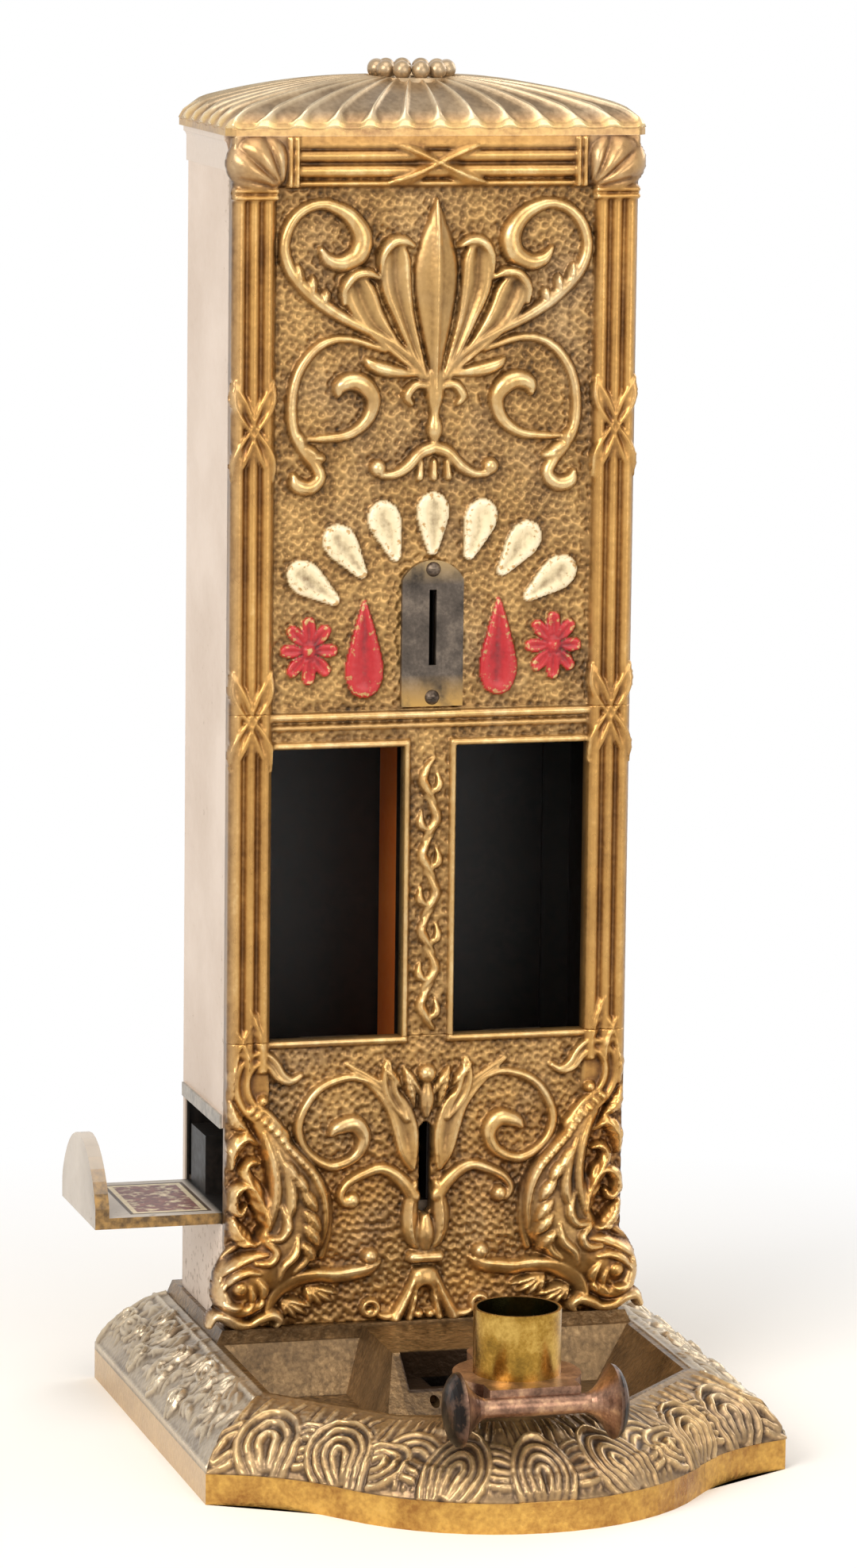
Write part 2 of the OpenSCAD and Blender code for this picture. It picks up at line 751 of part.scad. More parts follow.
module right_side_panel()
    color("#ead9cb")
        union() {
            difference() {
                panel_sheet();
                panel_holes();
            }
            for (z = hinge_levels, k = [0, 2])
                hinge_knuckle(z + k * (knuckle_l + set_gap), knuckle_l)
                    span([hinge_x, half_w], [body_d - sheet / 2, hinge_y],
                        [z + k * (knuckle_l + set_gap), z + k * (knuckle_l + set_gap) + knuckle_l]);
        }

module panel_rivets()
    color("#b7aea2")
        both()
            for (z = lug_levels)
                rod_x(rivet_r, [half_in - lug_w, half_w], y_in + lug_d / 2, z + lug_h / 2);

module body_floor()
    color("#8d8578")
        difference() {
            span([-half_in, half_in], [y_in, y_flange], [z_seat, z_seat + floor_t]);
            for (x = [-body_screw_x, body_screw_x], y = body_screw_y)
                rod_z(body_screw_r + run_gap, x, y, [z_seat - eps, z_seat + floor_t + eps]);
            both()
                span([half_in - lug_w - set_gap, half_in + eps], [y_in - eps, y_in + lug_d + set_gap],
                    [z_seat - eps, z_seat + floor_t + eps]);
        }

module body_screws() {
    z = z_seat + floor_t;
    head_share = 1.9;
    color("#6f6a63")
        for (x = [-body_screw_x, body_screw_x], y = body_screw_y)
            union() {
                rod_z(body_screw_r, x, y, [z - body_screw_l, z + eps]);
                rod_z(body_screw_r * head_share, x, y, [z, z + body_screw_head]);
            }
}

// Point on the eave's rectangle, by side and share along it
function eave_point(s, t) =
    s == 0 ? [-roof_half + 2 * roof_half * t, roof_y0]
    : s == 1 ? [roof_half, roof_y0 + (roof_y1 - roof_y0) * t]
    : s == 2 ? [roof_half - 2 * roof_half * t, roof_y1]
    : [-roof_half, roof_y1 - (roof_y1 - roof_y0) * t];

// Fluted dome of the roof as one closed skin: rings from the crown out to the rolled eave, waved by the flutes,
// then down the eave's edge and back up inside to the ceiling
module fluted_dome() {
    flutes = [12, 6, 12, 6];
    per_flute = 4;
    // Share of the way out, fall of the rolled edge and depth of the flutes, ring by ring
    rings = [[0.2, 0, 0], [0.45, 0, 0.4], [0.72, 0, 0.75], [0.93, 0.06, 1], [0.985, 0.3, 0.9], [1, 0.62, 0.3]];
    swell = 2.2;
    wave = 1.5;
    corner = 0.975;
    mouth_share = 0.84;
    ceiling_share = 0.5;
    z_ceiling = z_crown - 2 * roof_wall;
    rim = [for (s = [0 : 3], k = [0 : flutes[s] * per_flute - 1])
        [s, k / (flutes[s] * per_flute), (cos(360 * k / per_flute) - 1) / 2, k == 0 ? corner : 1]];
    n = len(rim);
    function level(r) = z_top + eave_t * (1 - r[1]) + roof_rise * (1 - pow(r[0], swell));
    function place(i, r, z) =
        let (p = [0, roof_cy] + r * rim[i][3] * (eave_point(rim[i][0], rim[i][1]) - [0, roof_cy]))
        [p[0], p[1], z];
    top = [for (r = rings, i = [0 : n - 1]) place(i, r[0], level(r) + wave * r[2] * rim[i][2])];
    foot = [for (i = [0 : n - 1]) place(i, 1, z_top)];
    mouth = [for (i = [0 : n - 1]) place(i, mouth_share, z_top)];
    ceiling = [for (i = [0 : n - 1]) place(i, ceiling_share, z_ceiling)];
    rows = len(rings) + 2;
    skin = [for (j = [0 : rows - 1], i = [0 : n - 1], t = [0, 1])
        let (a = j * n + i, b = j * n + (i + 1) % n)
        t == 0 ? [a, b, a + n] : [b, b + n, a + n]];
    last = rows * n;
    centres = [[0, roof_cy, z_crown], [0, roof_cy, z_ceiling]];
    crown_fan = [for (i = [0 : n - 1]) [(i + 1) % n, i, last + n]];
    ceiling_fan = [for (i = [0 : n - 1]) [last + i, last + (i + 1) % n, last + n + 1]];
    polyhedron(points = concat(top, foot, mouth, ceiling, centres), faces = concat(skin, crown_fan, ceiling_fan));
}

// Quarter-hollow cornice under the eave, drawn outward from the wall
module cove(length) {
    edge_in = 0.6;
    quirk_top = 1.4;
    quirk_foot = 1.6;
    r = eave_over - edge_in;
    rise = cove_h - quirk_top - quirk_foot;
    steps = 8;
    curve = [for (k = [0 : steps])
        [r * (1 - cos(90 * k / steps)), quirk_foot + rise * sin(90 * k / steps)]];
    rotate([90, 0, 90])
        linear_extrude(height = length)
            polygon(concat([[-roof_wall, 0], [0, 0]], curve, [[r, cove_h + eps], [-roof_wall, cove_h + eps]]));
}

module roof_shell() {
    fluted_dome();
    skirt_l = body_d - y_in;
    for (m = [0, 1])
        mirror([m, 0, 0])
            translate([half_w, body_d, z_side_top])
                rotate([0, 0, -90])
                    cove(skirt_l);
    translate([half_w, body_d, z_side_top])
        rotate([0, 0, 180])
            cove(front_w);
}

// Ring of beads round a low button, on a disc set into the crown
module finial() {
    beads = 12;
    disc_over = 1.7;
    disc_r = bead_ring_r + disc_over;
    disc_t = 2.6;
    bead_sink = 0.5;
    button_sink = 0.4;
    button_r = 6;
    button_h = 3.4;
    button = [for (k = [0 : 6]) [button_r * cos(15 * k), button_h * sin(15 * k)]];
    translate([0, roof_cy, z_crown]) {
        translate([0, 0, -disc_t])
            cylinder(r = disc_r, h = disc_t);
        for (k = [0 : beads - 1])
            rotate([0, 0, 360 * k / beads])
                translate([bead_ring_r, 0, bead_r - bead_sink])
                    sphere(r = bead_r);
        translate([0, 0, -button_sink])
            rotate_extrude()
                polygon(concat([[0, 0]], button));
    }
}

module roof_casting()
    color("#a8823f")
        difference() {
            union() {
                roof_shell();
                finial();
                both()
                    rod_z(roof_boss_r, roof_boss_x, roof_boss_y, [z_top - roof_lug_drop, z_top + eave_t + 2]);
            }
            both()
                rod_z(roof_screw_r + run_gap, roof_boss_x, roof_boss_y, [z_rail, z_top + roof_screw_in]);
        }

module roof_screws() {
    z_head = z_top - roof_lug_drop - roof_lug_t;
    head = 1.8;
    color("#6f6a63")
        both()
            union() {
                rod_z(roof_screw_r, roof_boss_x, roof_boss_y, [z_head - eps, z_top + roof_screw_in - eps]);
                rod_z(roof_screw_r * 2, roof_boss_x, roof_boss_y, [z_head - head, z_head]);
            }
}

module back_door()
    color("#cfc0ae")
        difference() {
            union() {
                difference() {
                    span([-half_w + door_in, hinge_x - knuckle_r - 2 * set_gap], [door_y0, door_y1], [door_z0, door_z1]);
                    rod_y(lock_r + run_gap, lock_x, [door_y0 - eps, door_y1 + eps], lock_z);
                }
                door_stiffener();
                for (z = hinge_levels)
                    hinge_knuckle(z + knuckle_l + set_gap, knuckle_l)
                        span([hinge_x - knuckle_r - 1, hinge_x], [door_y0, hinge_y],
                            [z + knuckle_l + set_gap, z + 2 * knuckle_l + set_gap]);
            }
            for (z = hinge_levels)
                rod_z(hinge_pin_r + run_gap, hinge_x, hinge_y, [z - eps, z + 3 * knuckle_l + 1]);
        }

// Raised border that stiffens the door's sheet
module door_stiffener() {
    inset = 10;
    x0 = -half_w + inset;
    x1 = half_w - inset - 2 * knuckle_r;
    z0 = door_z0 + inset;
    z1 = door_z1 - inset;
    rise = 1.4;
    y = [door_y1 - eps, door_y1 + rise];
    difference() {
        span([x0, x1], y, [z0, z1]);
        span([x0 + door_rim, x1 - door_rim], [door_y0, door_y1 + rise + eps], [z0 + door_rim, z1 - door_rim]);
        rod_y(lock_head_r + set_gap, lock_x, [door_y0, door_y1 + rise + eps], lock_z);
    }
}

module hinge_pins()
    color("#8f8a80")
        for (z = hinge_levels)
            rod_z(hinge_pin_r, hinge_x, hinge_y, [z, z + 3 * knuckle_l + 2 * set_gap]);

module lock_barrel() {
    barrel_in = 1.2;
    color("#c9a04a")
        difference() {
            union() {
                rod_y(lock_r, lock_x, [cam_y1 + barrel_in, door_y1 + eps], lock_z);
                rod_y(lock_head_r, lock_x, [door_y1, door_y1 + lock_head_t], lock_z);
            }
            rod_y(plug_r + run_gap, lock_x, [cam_y1, door_y1 + lock_head_t + eps], lock_z);
        }
}

// Key plug with the cam that turns behind the left panel's flange, shown turned free
module lock_cam() {
    key_w = 0.9;
    key_l = 3;
    plug_y1 = door_y1 + lock_head_t - 0.4;
    color("#a9883f")
        difference() {
            union() {
                rod_y(plug_r, lock_x, [cam_y1 - eps, plug_y1], lock_z);
                span([lock_x - cam_w / 2, lock_x + cam_w / 2], [cam_y1 - cam_t, cam_y1],
                    [lock_z - cam_w / 2, lock_z + cam_l]);
            }
            span([lock_x - key_w / 2, lock_x + key_w / 2], [plug_y1 - 2, plug_y1 + eps],
                [lock_z - key_l / 2, lock_z + key_l / 2]);
        }
}

module glass_pane()
    span([glass_x0, glass_x1], [y_in, y_in + glass_t], [glass_z0, glass_z1]);

module left_glass()
    color("#17130f", 0.6)
        mirror([1, 0, 0])
            glass_pane();

module right_glass()
    color("#17130f", 0.6)
        glass_pane();

// Bent clip over the lower or upper edge of a glass
module glass_clip(k) {
    up = k == 0 ? 1 : -1;
    edge = k == 0 ? glass_z0 : glass_z1;
    x = [clip_x - clip_l / 2, clip_x + clip_l / 2];
    function band(a, b) = [min(edge + up * a, edge + up * b), max(edge + up * a, edge + up * b)];
    difference() {
        union() {
            span(x, [y_in, y_in + glass_t + clip_t], band(-clip_foot - set_gap, -set_gap));
            span(x, [y_in + glass_t, y_in + glass_t + clip_t], band(-set_gap - eps, 1.6));
        }
        rod_y(small_screw_r + run_gap, clip_x, [y_in - eps, y_in + glass_t + clip_t + eps], clip_level(k));
    }
}

module glass_clips()
    color("#8f8a80")
        both()
            for (k = [0, 1])
                glass_clip(k);

// Screw from the back into the casting, its head on a face at y
module back_screw(x, y, z) {
    head_t = 1.2;
    union() {
        rod_y(small_screw_r, x, [y_panel + 1, y + eps], z);
        rod_y(small_screw_r * 1.6, x, [y, y + head_t], z);
    }
}

module clip_screws()
    color("#6f6a63")
        both()
            for (k = [0, 1])
                back_screw(clip_x, y_in + glass_t + clip_t, clip_level(k));

// Plate with an arched top
module coin_plate() {
    arch_r = plate_w / 2;
    spring = 0.62;
    round_r = arch_r * 1.12;
    z_arch = plate_z + plate_h - arch_r * spring;
    color("#6e665e")
        difference() {
            union() {
                span([-plate_w / 2, plate_w / 2], [y_panel - plate_t, y_panel], [plate_z, z_arch]);
                intersection() {
                    rod_y(round_r, 0, [y_panel - plate_t, y_panel], plate_z + plate_h - round_r);
                    span([-plate_w / 2, plate_w / 2], [y_panel - plate_t - 1, y_panel + 1],
                        [z_arch - eps, plate_z + plate_h + 1]);
                }
            }
            span([-slot_w / 2, slot_w / 2], [y_panel - plate_t - eps, y_panel + eps],
                [slot_z - slot_h / 2, slot_z + slot_h / 2]);
            for (z = [plate_z + screw_inset, plate_z + plate_h - screw_inset])
                rod_y(small_screw_r + run_gap, 0, [y_panel - plate_t - eps, y_panel + eps], z);
        }
}

// Round-head screw from the front, its head on a face at y
module front_screw(y, z) {
    dome = 1.3;
    kerf = 0.6;
    shank_end = y_in - 0.4;
    difference() {
        union() {
            rod_y(small_screw_r, 0, [y - eps, shank_end], z);
            intersection() {
                translate([0, y + head_r - dome, z])
                    sphere(r = head_r);
                rod_y(head_r, 0, [y - dome - eps, y], z);
            }
        }
        span([-head_r, head_r], [y - dome - eps, y - dome / 2], [z - kerf / 2, z + kerf / 2]);
    }
}

module coin_plate_screws()
    color("#5d5249")
        for (z = [plate_z + screw_inset, plate_z + plate_h - screw_inset])
            front_screw(y_panel - plate_t, z);

module slit_screw()
    color("#8a6a3a")
        front_screw(y_panel, slit_screw_z);

module coin_chute() {
    x1 = chute_half + chute_wall;
    color("#9c5a2c")
        difference() {
            union() {
                both() {
                    span([chute_half, x1], [y_in, chute_y1], [z_chute, chute_top]);
                    for (z = chute_foot_levels)
                        span([x1 - eps, x1 + chute_foot_w], [y_in, y_in + chute_wall], [z, z + chute_foot_h]);
                }
                span([-x1, x1], [chute_y1 - chute_wall, chute_y1], [z_chute, chute_top]);
            }
            both()
                for (z = chute_foot_levels)
                    rod_y(small_screw_r + run_gap, chute_screw_x(), [y_in - eps, y_in + chute_wall + eps],
                        z + chute_foot_h / 2);
            // Window for the latch's feeler in the right wall
            span([chute_half - eps, x1 + eps], [latch_y0 - 1, latch_y0 + latch_t + 1], [latch_z + 1.5, latch_z + 9]);
        }
}

module chute_screws()
    color("#6f6a63")
        both()
            for (z = chute_foot_levels)
                back_screw(chute_screw_x(), y_in + chute_wall, z + chute_foot_h / 2);

module magazine_partition() {
    half_t = 0.6;
    color("#a5622f")
        span([-half_t, half_t], [chute_y1, mag_y1], [z_mag, z_mag_top]);
}

module magazine_floor()
    color("#8d8578")
        union() {
            span([chute_half + chute_wall + set_gap, half_in], [y_in, chute_y1 + eps], [z_mag - mag_floor_t, z_mag]);
            span([-1.2, half_in], [chute_y1, mag_y1], [z_mag - mag_floor_t, z_mag]);
        }

module slide_bed()
    color("#8d8578")
        difference() {
            span([-half_in, half_in], [y_in, mag_y1], [z_bed - bed_t, z_bed]);
            span([-chute_half, chute_half], [y_in + 1.5, chute_y1], [z_bed - bed_t - eps, z_bed + eps]);
            rod_z(stop_r + run_gap, stop_x, stop_y, [z_bed - bed_t - eps, z_bed + eps]);
        }

module slide_guides() {
    z_lip = z_slide_top + slide_gap;
    x = [-half_in, half_in];
    color("#9a9184") {
        span(x, [y_in, y_in + guide_web], [z_bed, z_lip + guide_lip_t]);
        span(x, [y_in + guide_web - eps, y_in + guide_web + guide_lip], [z_lip, z_lip + guide_lip_t]);
        span(x, [slide_y1 + slide_gap, slide_y1 + slide_gap + guide_web], [z_bed, z_lip + guide_lip_t]);
        span(x, [slide_y1 + slide_gap - guide_lip, slide_y1 + slide_gap + eps], [z_lip, z_lip + guide_lip_t]);
    }
}

module slide_stop()
    color("#6f6a63")
        rod_z(stop_r, stop_x, stop_y, [z_bed - bed_t, z_bed + stop_h]);

// Bell outline of the end plate, as depth and height
function bell() =
    let (w = slide_w / 2, shoulder = 5.5)
    concat(
        [[-w, 0], [w, 0], [w, shoulder]],
        [for (k = [1 : 15])
            let (t = k / 16)
            [w * cos(180 * t), shoulder + (end_h - shoulder) * pow(sin(180 * t), 1.5)]],
        [[-w, shoulder]]);

module delivery_slide() {
    groove_half = stop_r + set_gap;
    groove = [stop_x - slide_home - groove_half - set_gap, stop_x + slide_more + groove_half];
    // Notch that lies under the latch's tooth when the slide is home
    notch = [latch_x - tooth_w - slide_home - 0.5, latch_x - slide_home + 0.5];
    notch_d = 1.5;
    color("#cdbfa8")
        union() {
            difference() {
                span([-slide_in, tail_x1], [slide_y0, slide_y1], [z_slide, z_slide_top]);
                span(groove, [stop_y - groove_half, stop_y + groove_half], [z_slide - eps, z_slide + stop_h + set_gap]);
                span(notch, [latch_y0 - 1.5, latch_y0 + latch_t + 1.5], [z_slide_top - notch_d, z_slide_top + eps]);
            }
            translate([-slide_in - end_t, slide_mid, z_slide])
                rotate([90, 0, 90])
                    linear_extrude(height = end_t)
                        polygon(bell());
            difference() {
                span([tail_x0, tail_x1], [tail_y0, tail_y1], [z_slide_top - eps, z_tail]);
                span([tail_x0 + tail_wall, tail_x1 - tail_wall], [tail_y0 + tail_wall, tail_y1 - tail_wall],
                    [z_slide_top, z_tail - tail_wall]);
            }
        }
}

module latch_bracket() {
    y0 = latch_y0 - set_gap - cheek_t;
    y1 = latch_y0 + latch_t + set_gap + cheek_t;
    half = 4;
    z_top_face = z_mag - mag_floor_t;
    z_low = latch_z - 3.4;
    color("#8d8578")
        difference() {
            union() {
                span([latch_x - half, latch_x + half], [y0, y0 + cheek_t], [z_low, z_top_face]);
                span([latch_x - half, latch_x + half], [y1 - cheek_t, y1], [z_low, z_top_face]);
                span([latch_x + 1, latch_x + half], [y0, y1], [z_top_face - 1.2, z_top_face]);
            }
            rod_y(latch_pin_r + run_gap, latch_x, [y0 - eps, y1 + eps], latch_z);
        }
}

module latch_pin()
    color("#8f8a80")
        rod_y(latch_pin_r, latch_x, [latch_y0 - set_gap - cheek_t, latch_y0 + latch_t + set_gap + cheek_t], latch_z);

// Gravity pawl: a feeler that reaches into the chute and a tooth over the slide's notch
module coin_latch() {
    y = [latch_y0, latch_y0 + latch_t];
    tooth_z = z_slide_top + 0.3;
    feeler_x = chute_half - 0.9;
    outline = [
        [latch_x - 1, latch_z + 3], [feeler_x, latch_z + 5.6], [feeler_x, latch_z + 4.2], [latch_x - 4, latch_z + 1],
        [latch_x - tooth_w, latch_z - 3], [latch_x - tooth_w, tooth_z], [latch_x, tooth_z], [latch_x + 2, latch_z - 2]
    ];
    color("#8f7a55")
        difference() {
            union() {
                rod_y(latch_hub_r, latch_x, y, latch_z);
                translate([0, y[1], 0])
                    rotate([90, 0, 0])
                        linear_extrude(height = latch_t)
                            polygon(outline);
            }
            rod_y(latch_pin_r + run_gap, latch_x, [y[0] - eps, y[1] + eps], latch_z);
        }
}

module cash_box() {
    head_clear = 2;
    z0 = z_cash + head_clear;
    color("#7f776a")
        union() {
            difference() {
                span([-cash_half, cash_half], [cash_y0, cash_y1], [z0, z_cash + cash_h]);
                span([-cash_half + cash_wall, cash_half - cash_wall], [cash_y0 + cash_wall, cash_y1 - cash_wall],
                    [z0 + cash_wall, z_cash + cash_h + eps]);
            }
            // Two runners that lift the box over the screw heads
            for (x = [-1, 1])
                span([x * 12 - 3, x * 12 + 3], [cash_y0, cash_y1], [z_cash, z0 + eps]);
        }
}

// Outline of the right half of the base from the bow's crown to the back corner
function base_edge() = concat(
    [for (k = [0 : 8]) let (a = -90 + bow_angle * k / 8) [bow_r * cos(a), bow_cy + bow_r * sin(a)]],
    [for (k = [1 : 6])
        let (a = hollow_a0 + (hollow_a1 - hollow_a0) * k / 6)
        hollow_c + hollow_r * [cos(a), sin(a)]],
    [[base_half, -base_corner / 2], [base_half, 0], [base_half, base_back]]);

// Matching points of the rim's crest
function crest_edge() = concat(
    [for (k = [0 : 8]) [crest_bend[0] * k / 8, -crest_front + (crest_front + crest_bend[1]) * pow(k / 8, 2)]],
    [for (k = [1 : 6]) crest_bend + ([crest_half, -crest_side] - crest_bend) * k / 6],
    [[crest_half, -crest_side / 2], [crest_half, 0], [crest_half, base_back]]);

function whole(half_edge) =
    let (n = len(half_edge) - 1)
    concat(half_edge, [for (i = [n : -1 : 1]) [-half_edge[i][0], half_edge[i][1]]]);

// Upright edge and swelling rim up to the crest, closed by a flat top
module rim_block() {
    outer = whole(base_edge());
    inner = whole(crest_edge());
    n = len(outer);
    shares = [0, 0.06, 0.2, 0.45, 0.72, 1];
    rises = [0, 0.2, 0.46, 0.7, 0.88, 1];
    rows = len(shares) + 1;
    pts = concat(
        [for (p = outer) [p[0], p[1], 0]],
        [for (j = [0 : len(shares) - 1], i = [0 : n - 1])
            let (p = outer[i] + (inner[i] - outer[i]) * shares[j])
            [p[0], p[1], edge_h + (crest_h - edge_h) * rises[j]]]);
    skin = [for (j = [0 : rows - 2], i = [0 : n - 1], t = [0, 1])
        let (a = j * n + i, b = j * n + (i + 1) % n)
        t == 0 ? [a, a + n, b] : [b, a + n, b + n]];
    polyhedron(
        points = pts,
        faces = concat(skin, [[for (i = [0 : n - 1]) i], [for (i = [n - 1 : -1 : 0]) (rows - 1) * n + i]]));
}

// Ash recess: a dished hollow with sloping walls
module recess() {
    top = [
        [crest_half - land, recess_back - recess_slope / 2], [crest_half - land, -crest_side],
        [crest_bend[0] - land / 2, crest_bend[1] + land], [0, -crest_front + land]
    ];
    floor_x = crest_half - land - recess_slope;
    low = [
        [floor_x, -recess_slope], [floor_x, -crest_side + recess_slope / 2],
        [crest_bend[0] - recess_slope / 2, crest_bend[1] + recess_slope], [0, -crest_front + recess_slope]
    ];
    function mirrored(e) = concat(e, [for (i = [len(e) - 2 : -1 : 0]) [-e[i][0], e[i][1]]]);
    a = mirrored(low);
    b = mirrored(top);
    n = len(a);
    pts = concat([for (p = a) [p[0], p[1], recess_floor]], [for (p = b) [p[0], p[1], crest_h + eps]]);
    skin = [for (i = [0 : n - 1], t = [0, 1])
        let (j = (i + 1) % n)
        t == 0 ? [i, j, n + i] : [j, n + j, n + i]];
    polyhedron(points = pts, faces = concat(skin, [[for (i = [n - 1 : -1 : 0]) i], [for (i = [0 : n - 1]) n + i]]));
}

// Seat of the body, with sloping flanks
module seat()
    translate([0, base_back, 0])
        rotate([90, 0, 0])
            linear_extrude(height = base_back + 0.6)
                polygon([
                    [-seat_half - seat_flare, crest_h - 1], [seat_half + seat_flare, crest_h - 1],
                    [seat_half, seat_h], [-seat_half, seat_h]
                ]);

// Middle block of the recess, which slopes on three sides
module block() {
    zt = seat_h - block_drop;
    zb = recess_floor - 1;
    round = [[-1, 1], [1, 1], [1, 0], [-1, 0]];
    low = [for (p = round) [p[0] * block_foot_half, -p[1] * block_foot_front + 1, zb]];
    high = [for (p = round) [p[0] * block_top_half, -p[1] * block_front + 1, zt]];
    polyhedron(
        points = concat(low, high),
        faces = [[0, 1, 2, 3], [7, 6, 5, 4], [0, 4, 5, 1], [1, 5, 6, 2], [2, 6, 7, 3], [3, 7, 4, 0]]);
}

module base_casting() {
    plate_x = base_half - plate_margin;
    color("#9a8562")
        difference() {
            union() {
                difference() {
                    rim_block();
                    recess();
                }
                seat();
                block();
                rod_z(post_r, 0, -pivot_reach, [recess_floor - 1, z_post]);
            }
            span([-pocket_half, pocket_half], [-pocket_front, -pocket_y], [pocket_z, seat_h + 1]);
            span([-hole_half, hole_half], [-pocket_y - hole_y, -pocket_y], [base_plate_t, pocket_z + 1]);
            both()
                rod_y(pin_hole_r, pin_hole_x, [-block_foot_front, -pocket_y - hole_y - 2], pocket_z - pin_hole_drop);
            rod_z(pivot_r + run_gap, 0, -pivot_reach, [recess_floor, z_post + 1]);
            // Hollow underside and the rebate for the base plate
            span([-base_half + hollow_in, base_half - hollow_in], [-base_corner + hollow_in, base_back - hollow_back],
                [-eps, hollow_h]);
            span([-plate_x - set_gap, plate_x + set_gap],
                [-base_corner + plate_margin - set_gap, base_back - plate_back + set_gap], [-eps, base_plate_t]);
            for (x = [-body_screw_x, body_screw_x], y = body_screw_y)
                rod_z(body_screw_r + run_gap, x, y, [hollow_h + 2, seat_h + eps]);
            for (p = base_screw_places())
                rod_z(base_screw_r + run_gap, p[0], p[1], [-eps, hollow_h]);
        }
}

function base_screw_places() =
    let (x = base_half - plate_margin - screw_in, y0 = -base_corner + plate_margin + screw_in,
        y1 = base_back - plate_back - screw_in)
    [[-x, y1], [x, y1], [-x, y0], [x, y0]];

module base_plate() {
    plate_x = base_half - plate_margin;
    color("#5b564e")
        difference() {
            span([-plate_x, plate_x], [-base_corner + plate_margin, base_back - plate_back], [0, base_plate_t]);
            for (p = base_screw_places())
                rod_z(base_screw_r + run_gap, p[0], p[1], [-eps, base_plate_t + eps]);
        }
}

// Flush screws of the base plate
module base_plate_screws()
    color("#8f8a80")
        for (p = base_screw_places())
            rod_z(base_screw_r, p[0], p[1], [0, hollow_h - set_gap]);

module cutter_blade()
    color("#a9a49a")
        difference() {
            union() {
                rod_z(blade_r, 0, -tube_reach, [z_post, z_post + blade_t]);
                rod_z(post_r, 0, -pivot_reach, [z_post, z_post + blade_t]);
                span([-post_r, post_r], [-tube_reach, -pivot_reach], [z_post, z_post + blade_t]);
            }
            rod_z(bore_r, 0, -tube_reach, [z_post - eps, z_post + blade_t + eps]);
            rod_z(pivot_r + run_gap, 0, -pivot_reach, [z_post - eps, z_post + blade_t + eps]);
        }

// Mushroom knob on the bar's right end, turned about the bar
module knob() {
    rim = lever_half - 4;
    flare = [for (k = [0 : 6])
        let (t = k / 6)
        [bar_r + (knob_r - bar_r) * pow(t, 1.8), knob_neck + (rim - knob_neck) * t]];
    dome = [for (k = [1 : 5]) let (a = 90 * k / 6) [knob_r * cos(a), rim + (lever_half - rim) * sin(a)]];
    translate([0, -bar_reach, z_bar])
        rotate([0, 90, 0])
            rotate_extrude()
                polygon(concat([[0, knob_neck]], flare, dome, [[0, lever_half]]));
}

module cutter_lever() {
    web = 12;
    tab_r = post_r + 1;
    z = [z_lever, z_plate];
    color("#6b4a35")
        difference() {
            union() {
                rod_z(lever_plate_r, 0, -tube_reach, z);
                rod_z(tab_r, 0, -pivot_reach, z);
                span([-tab_r, tab_r], [-tube_reach, -pivot_reach], z);
                span([-web, web], [-bar_reach, -tube_reach], z);
                rod_x(bar_r, [-knob_neck - 1, knob_neck + 1], -bar_reach, z_bar);
                both()
                    knob();
            }
            rod_z(bore_r, 0, -tube_reach, [z_lever - eps, z_plate + eps]);
            rod_z(pivot_r + run_gap, 0, -pivot_reach, [z_lever - eps, z_plate + eps]);
        }
}

module cigar_tube()
    color("#c99a35")
        difference() {
            rod_z(tube_r, 0, -tube_reach, [z_plate, z_plate + tube_h]);
            rod_z(bore_r, 0, -tube_reach, [z_plate - eps, z_plate + tube_h + eps]);
        }

module cutter_pivot() {
    kerf = 1;
    z_head = z_plate + slide_gap;
    color("#5a4a3c")
        difference() {
            union() {
                rod_z(pivot_r, 0, -pivot_reach, [recess_floor + 2, z_head + eps]);
                rod_z(pivot_head_r, 0, -pivot_reach, [z_head, z_head + pivot_head_h]);
            }
            span([-pivot_head_r, pivot_head_r], [-pivot_reach - kerf / 2, -pivot_reach + kerf / 2],
                [z_head + pivot_head_h - 0.8, z_head + pivot_head_h + eps]);
        }
}

base_casting();
base_plate();
base_plate_screws();
body_floor();
body_screws();
front_casting();
left_side_panel();
right_side_panel();
panel_rivets();
roof_casting();
roof_screws();
back_door();
hinge_pins();
lock_barrel();
lock_cam();
left_glass();
right_glass();
glass_clips();
clip_screws();
coin_plate();
coin_plate_screws();
slit_screw();
coin_chute();
chute_screws();
magazine_partition();
magazine_floor();
slide_bed();
slide_guides();
slide_stop();
delivery_slide();
latch_bracket();
latch_pin();
coin_latch();
cash_box();
cutter_blade();
cutter_lever();
cigar_tube();
cutter_pivot();
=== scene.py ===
"""Looks of the match vending machine: carved castings, bronze paint, sheet, brass and glass."""
import json
import math

import bpy
import numpy as np
from mathutils import Matrix, Vector


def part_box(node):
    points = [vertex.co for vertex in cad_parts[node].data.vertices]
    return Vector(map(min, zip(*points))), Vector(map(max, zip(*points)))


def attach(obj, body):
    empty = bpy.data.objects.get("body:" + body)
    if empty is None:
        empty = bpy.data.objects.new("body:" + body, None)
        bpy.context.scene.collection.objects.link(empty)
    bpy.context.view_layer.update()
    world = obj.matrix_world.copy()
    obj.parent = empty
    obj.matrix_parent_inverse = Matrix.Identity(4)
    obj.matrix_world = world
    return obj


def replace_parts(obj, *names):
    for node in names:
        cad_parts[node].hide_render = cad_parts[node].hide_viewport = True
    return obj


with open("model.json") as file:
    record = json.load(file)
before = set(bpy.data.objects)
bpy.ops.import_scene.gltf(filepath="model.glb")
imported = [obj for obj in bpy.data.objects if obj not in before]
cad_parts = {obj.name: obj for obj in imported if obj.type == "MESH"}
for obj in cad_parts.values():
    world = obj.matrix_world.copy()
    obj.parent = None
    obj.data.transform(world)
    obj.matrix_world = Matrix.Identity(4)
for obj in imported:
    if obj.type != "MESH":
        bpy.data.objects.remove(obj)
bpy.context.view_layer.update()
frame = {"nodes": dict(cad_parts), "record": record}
NODES = frame["nodes"]
MM = 0.001


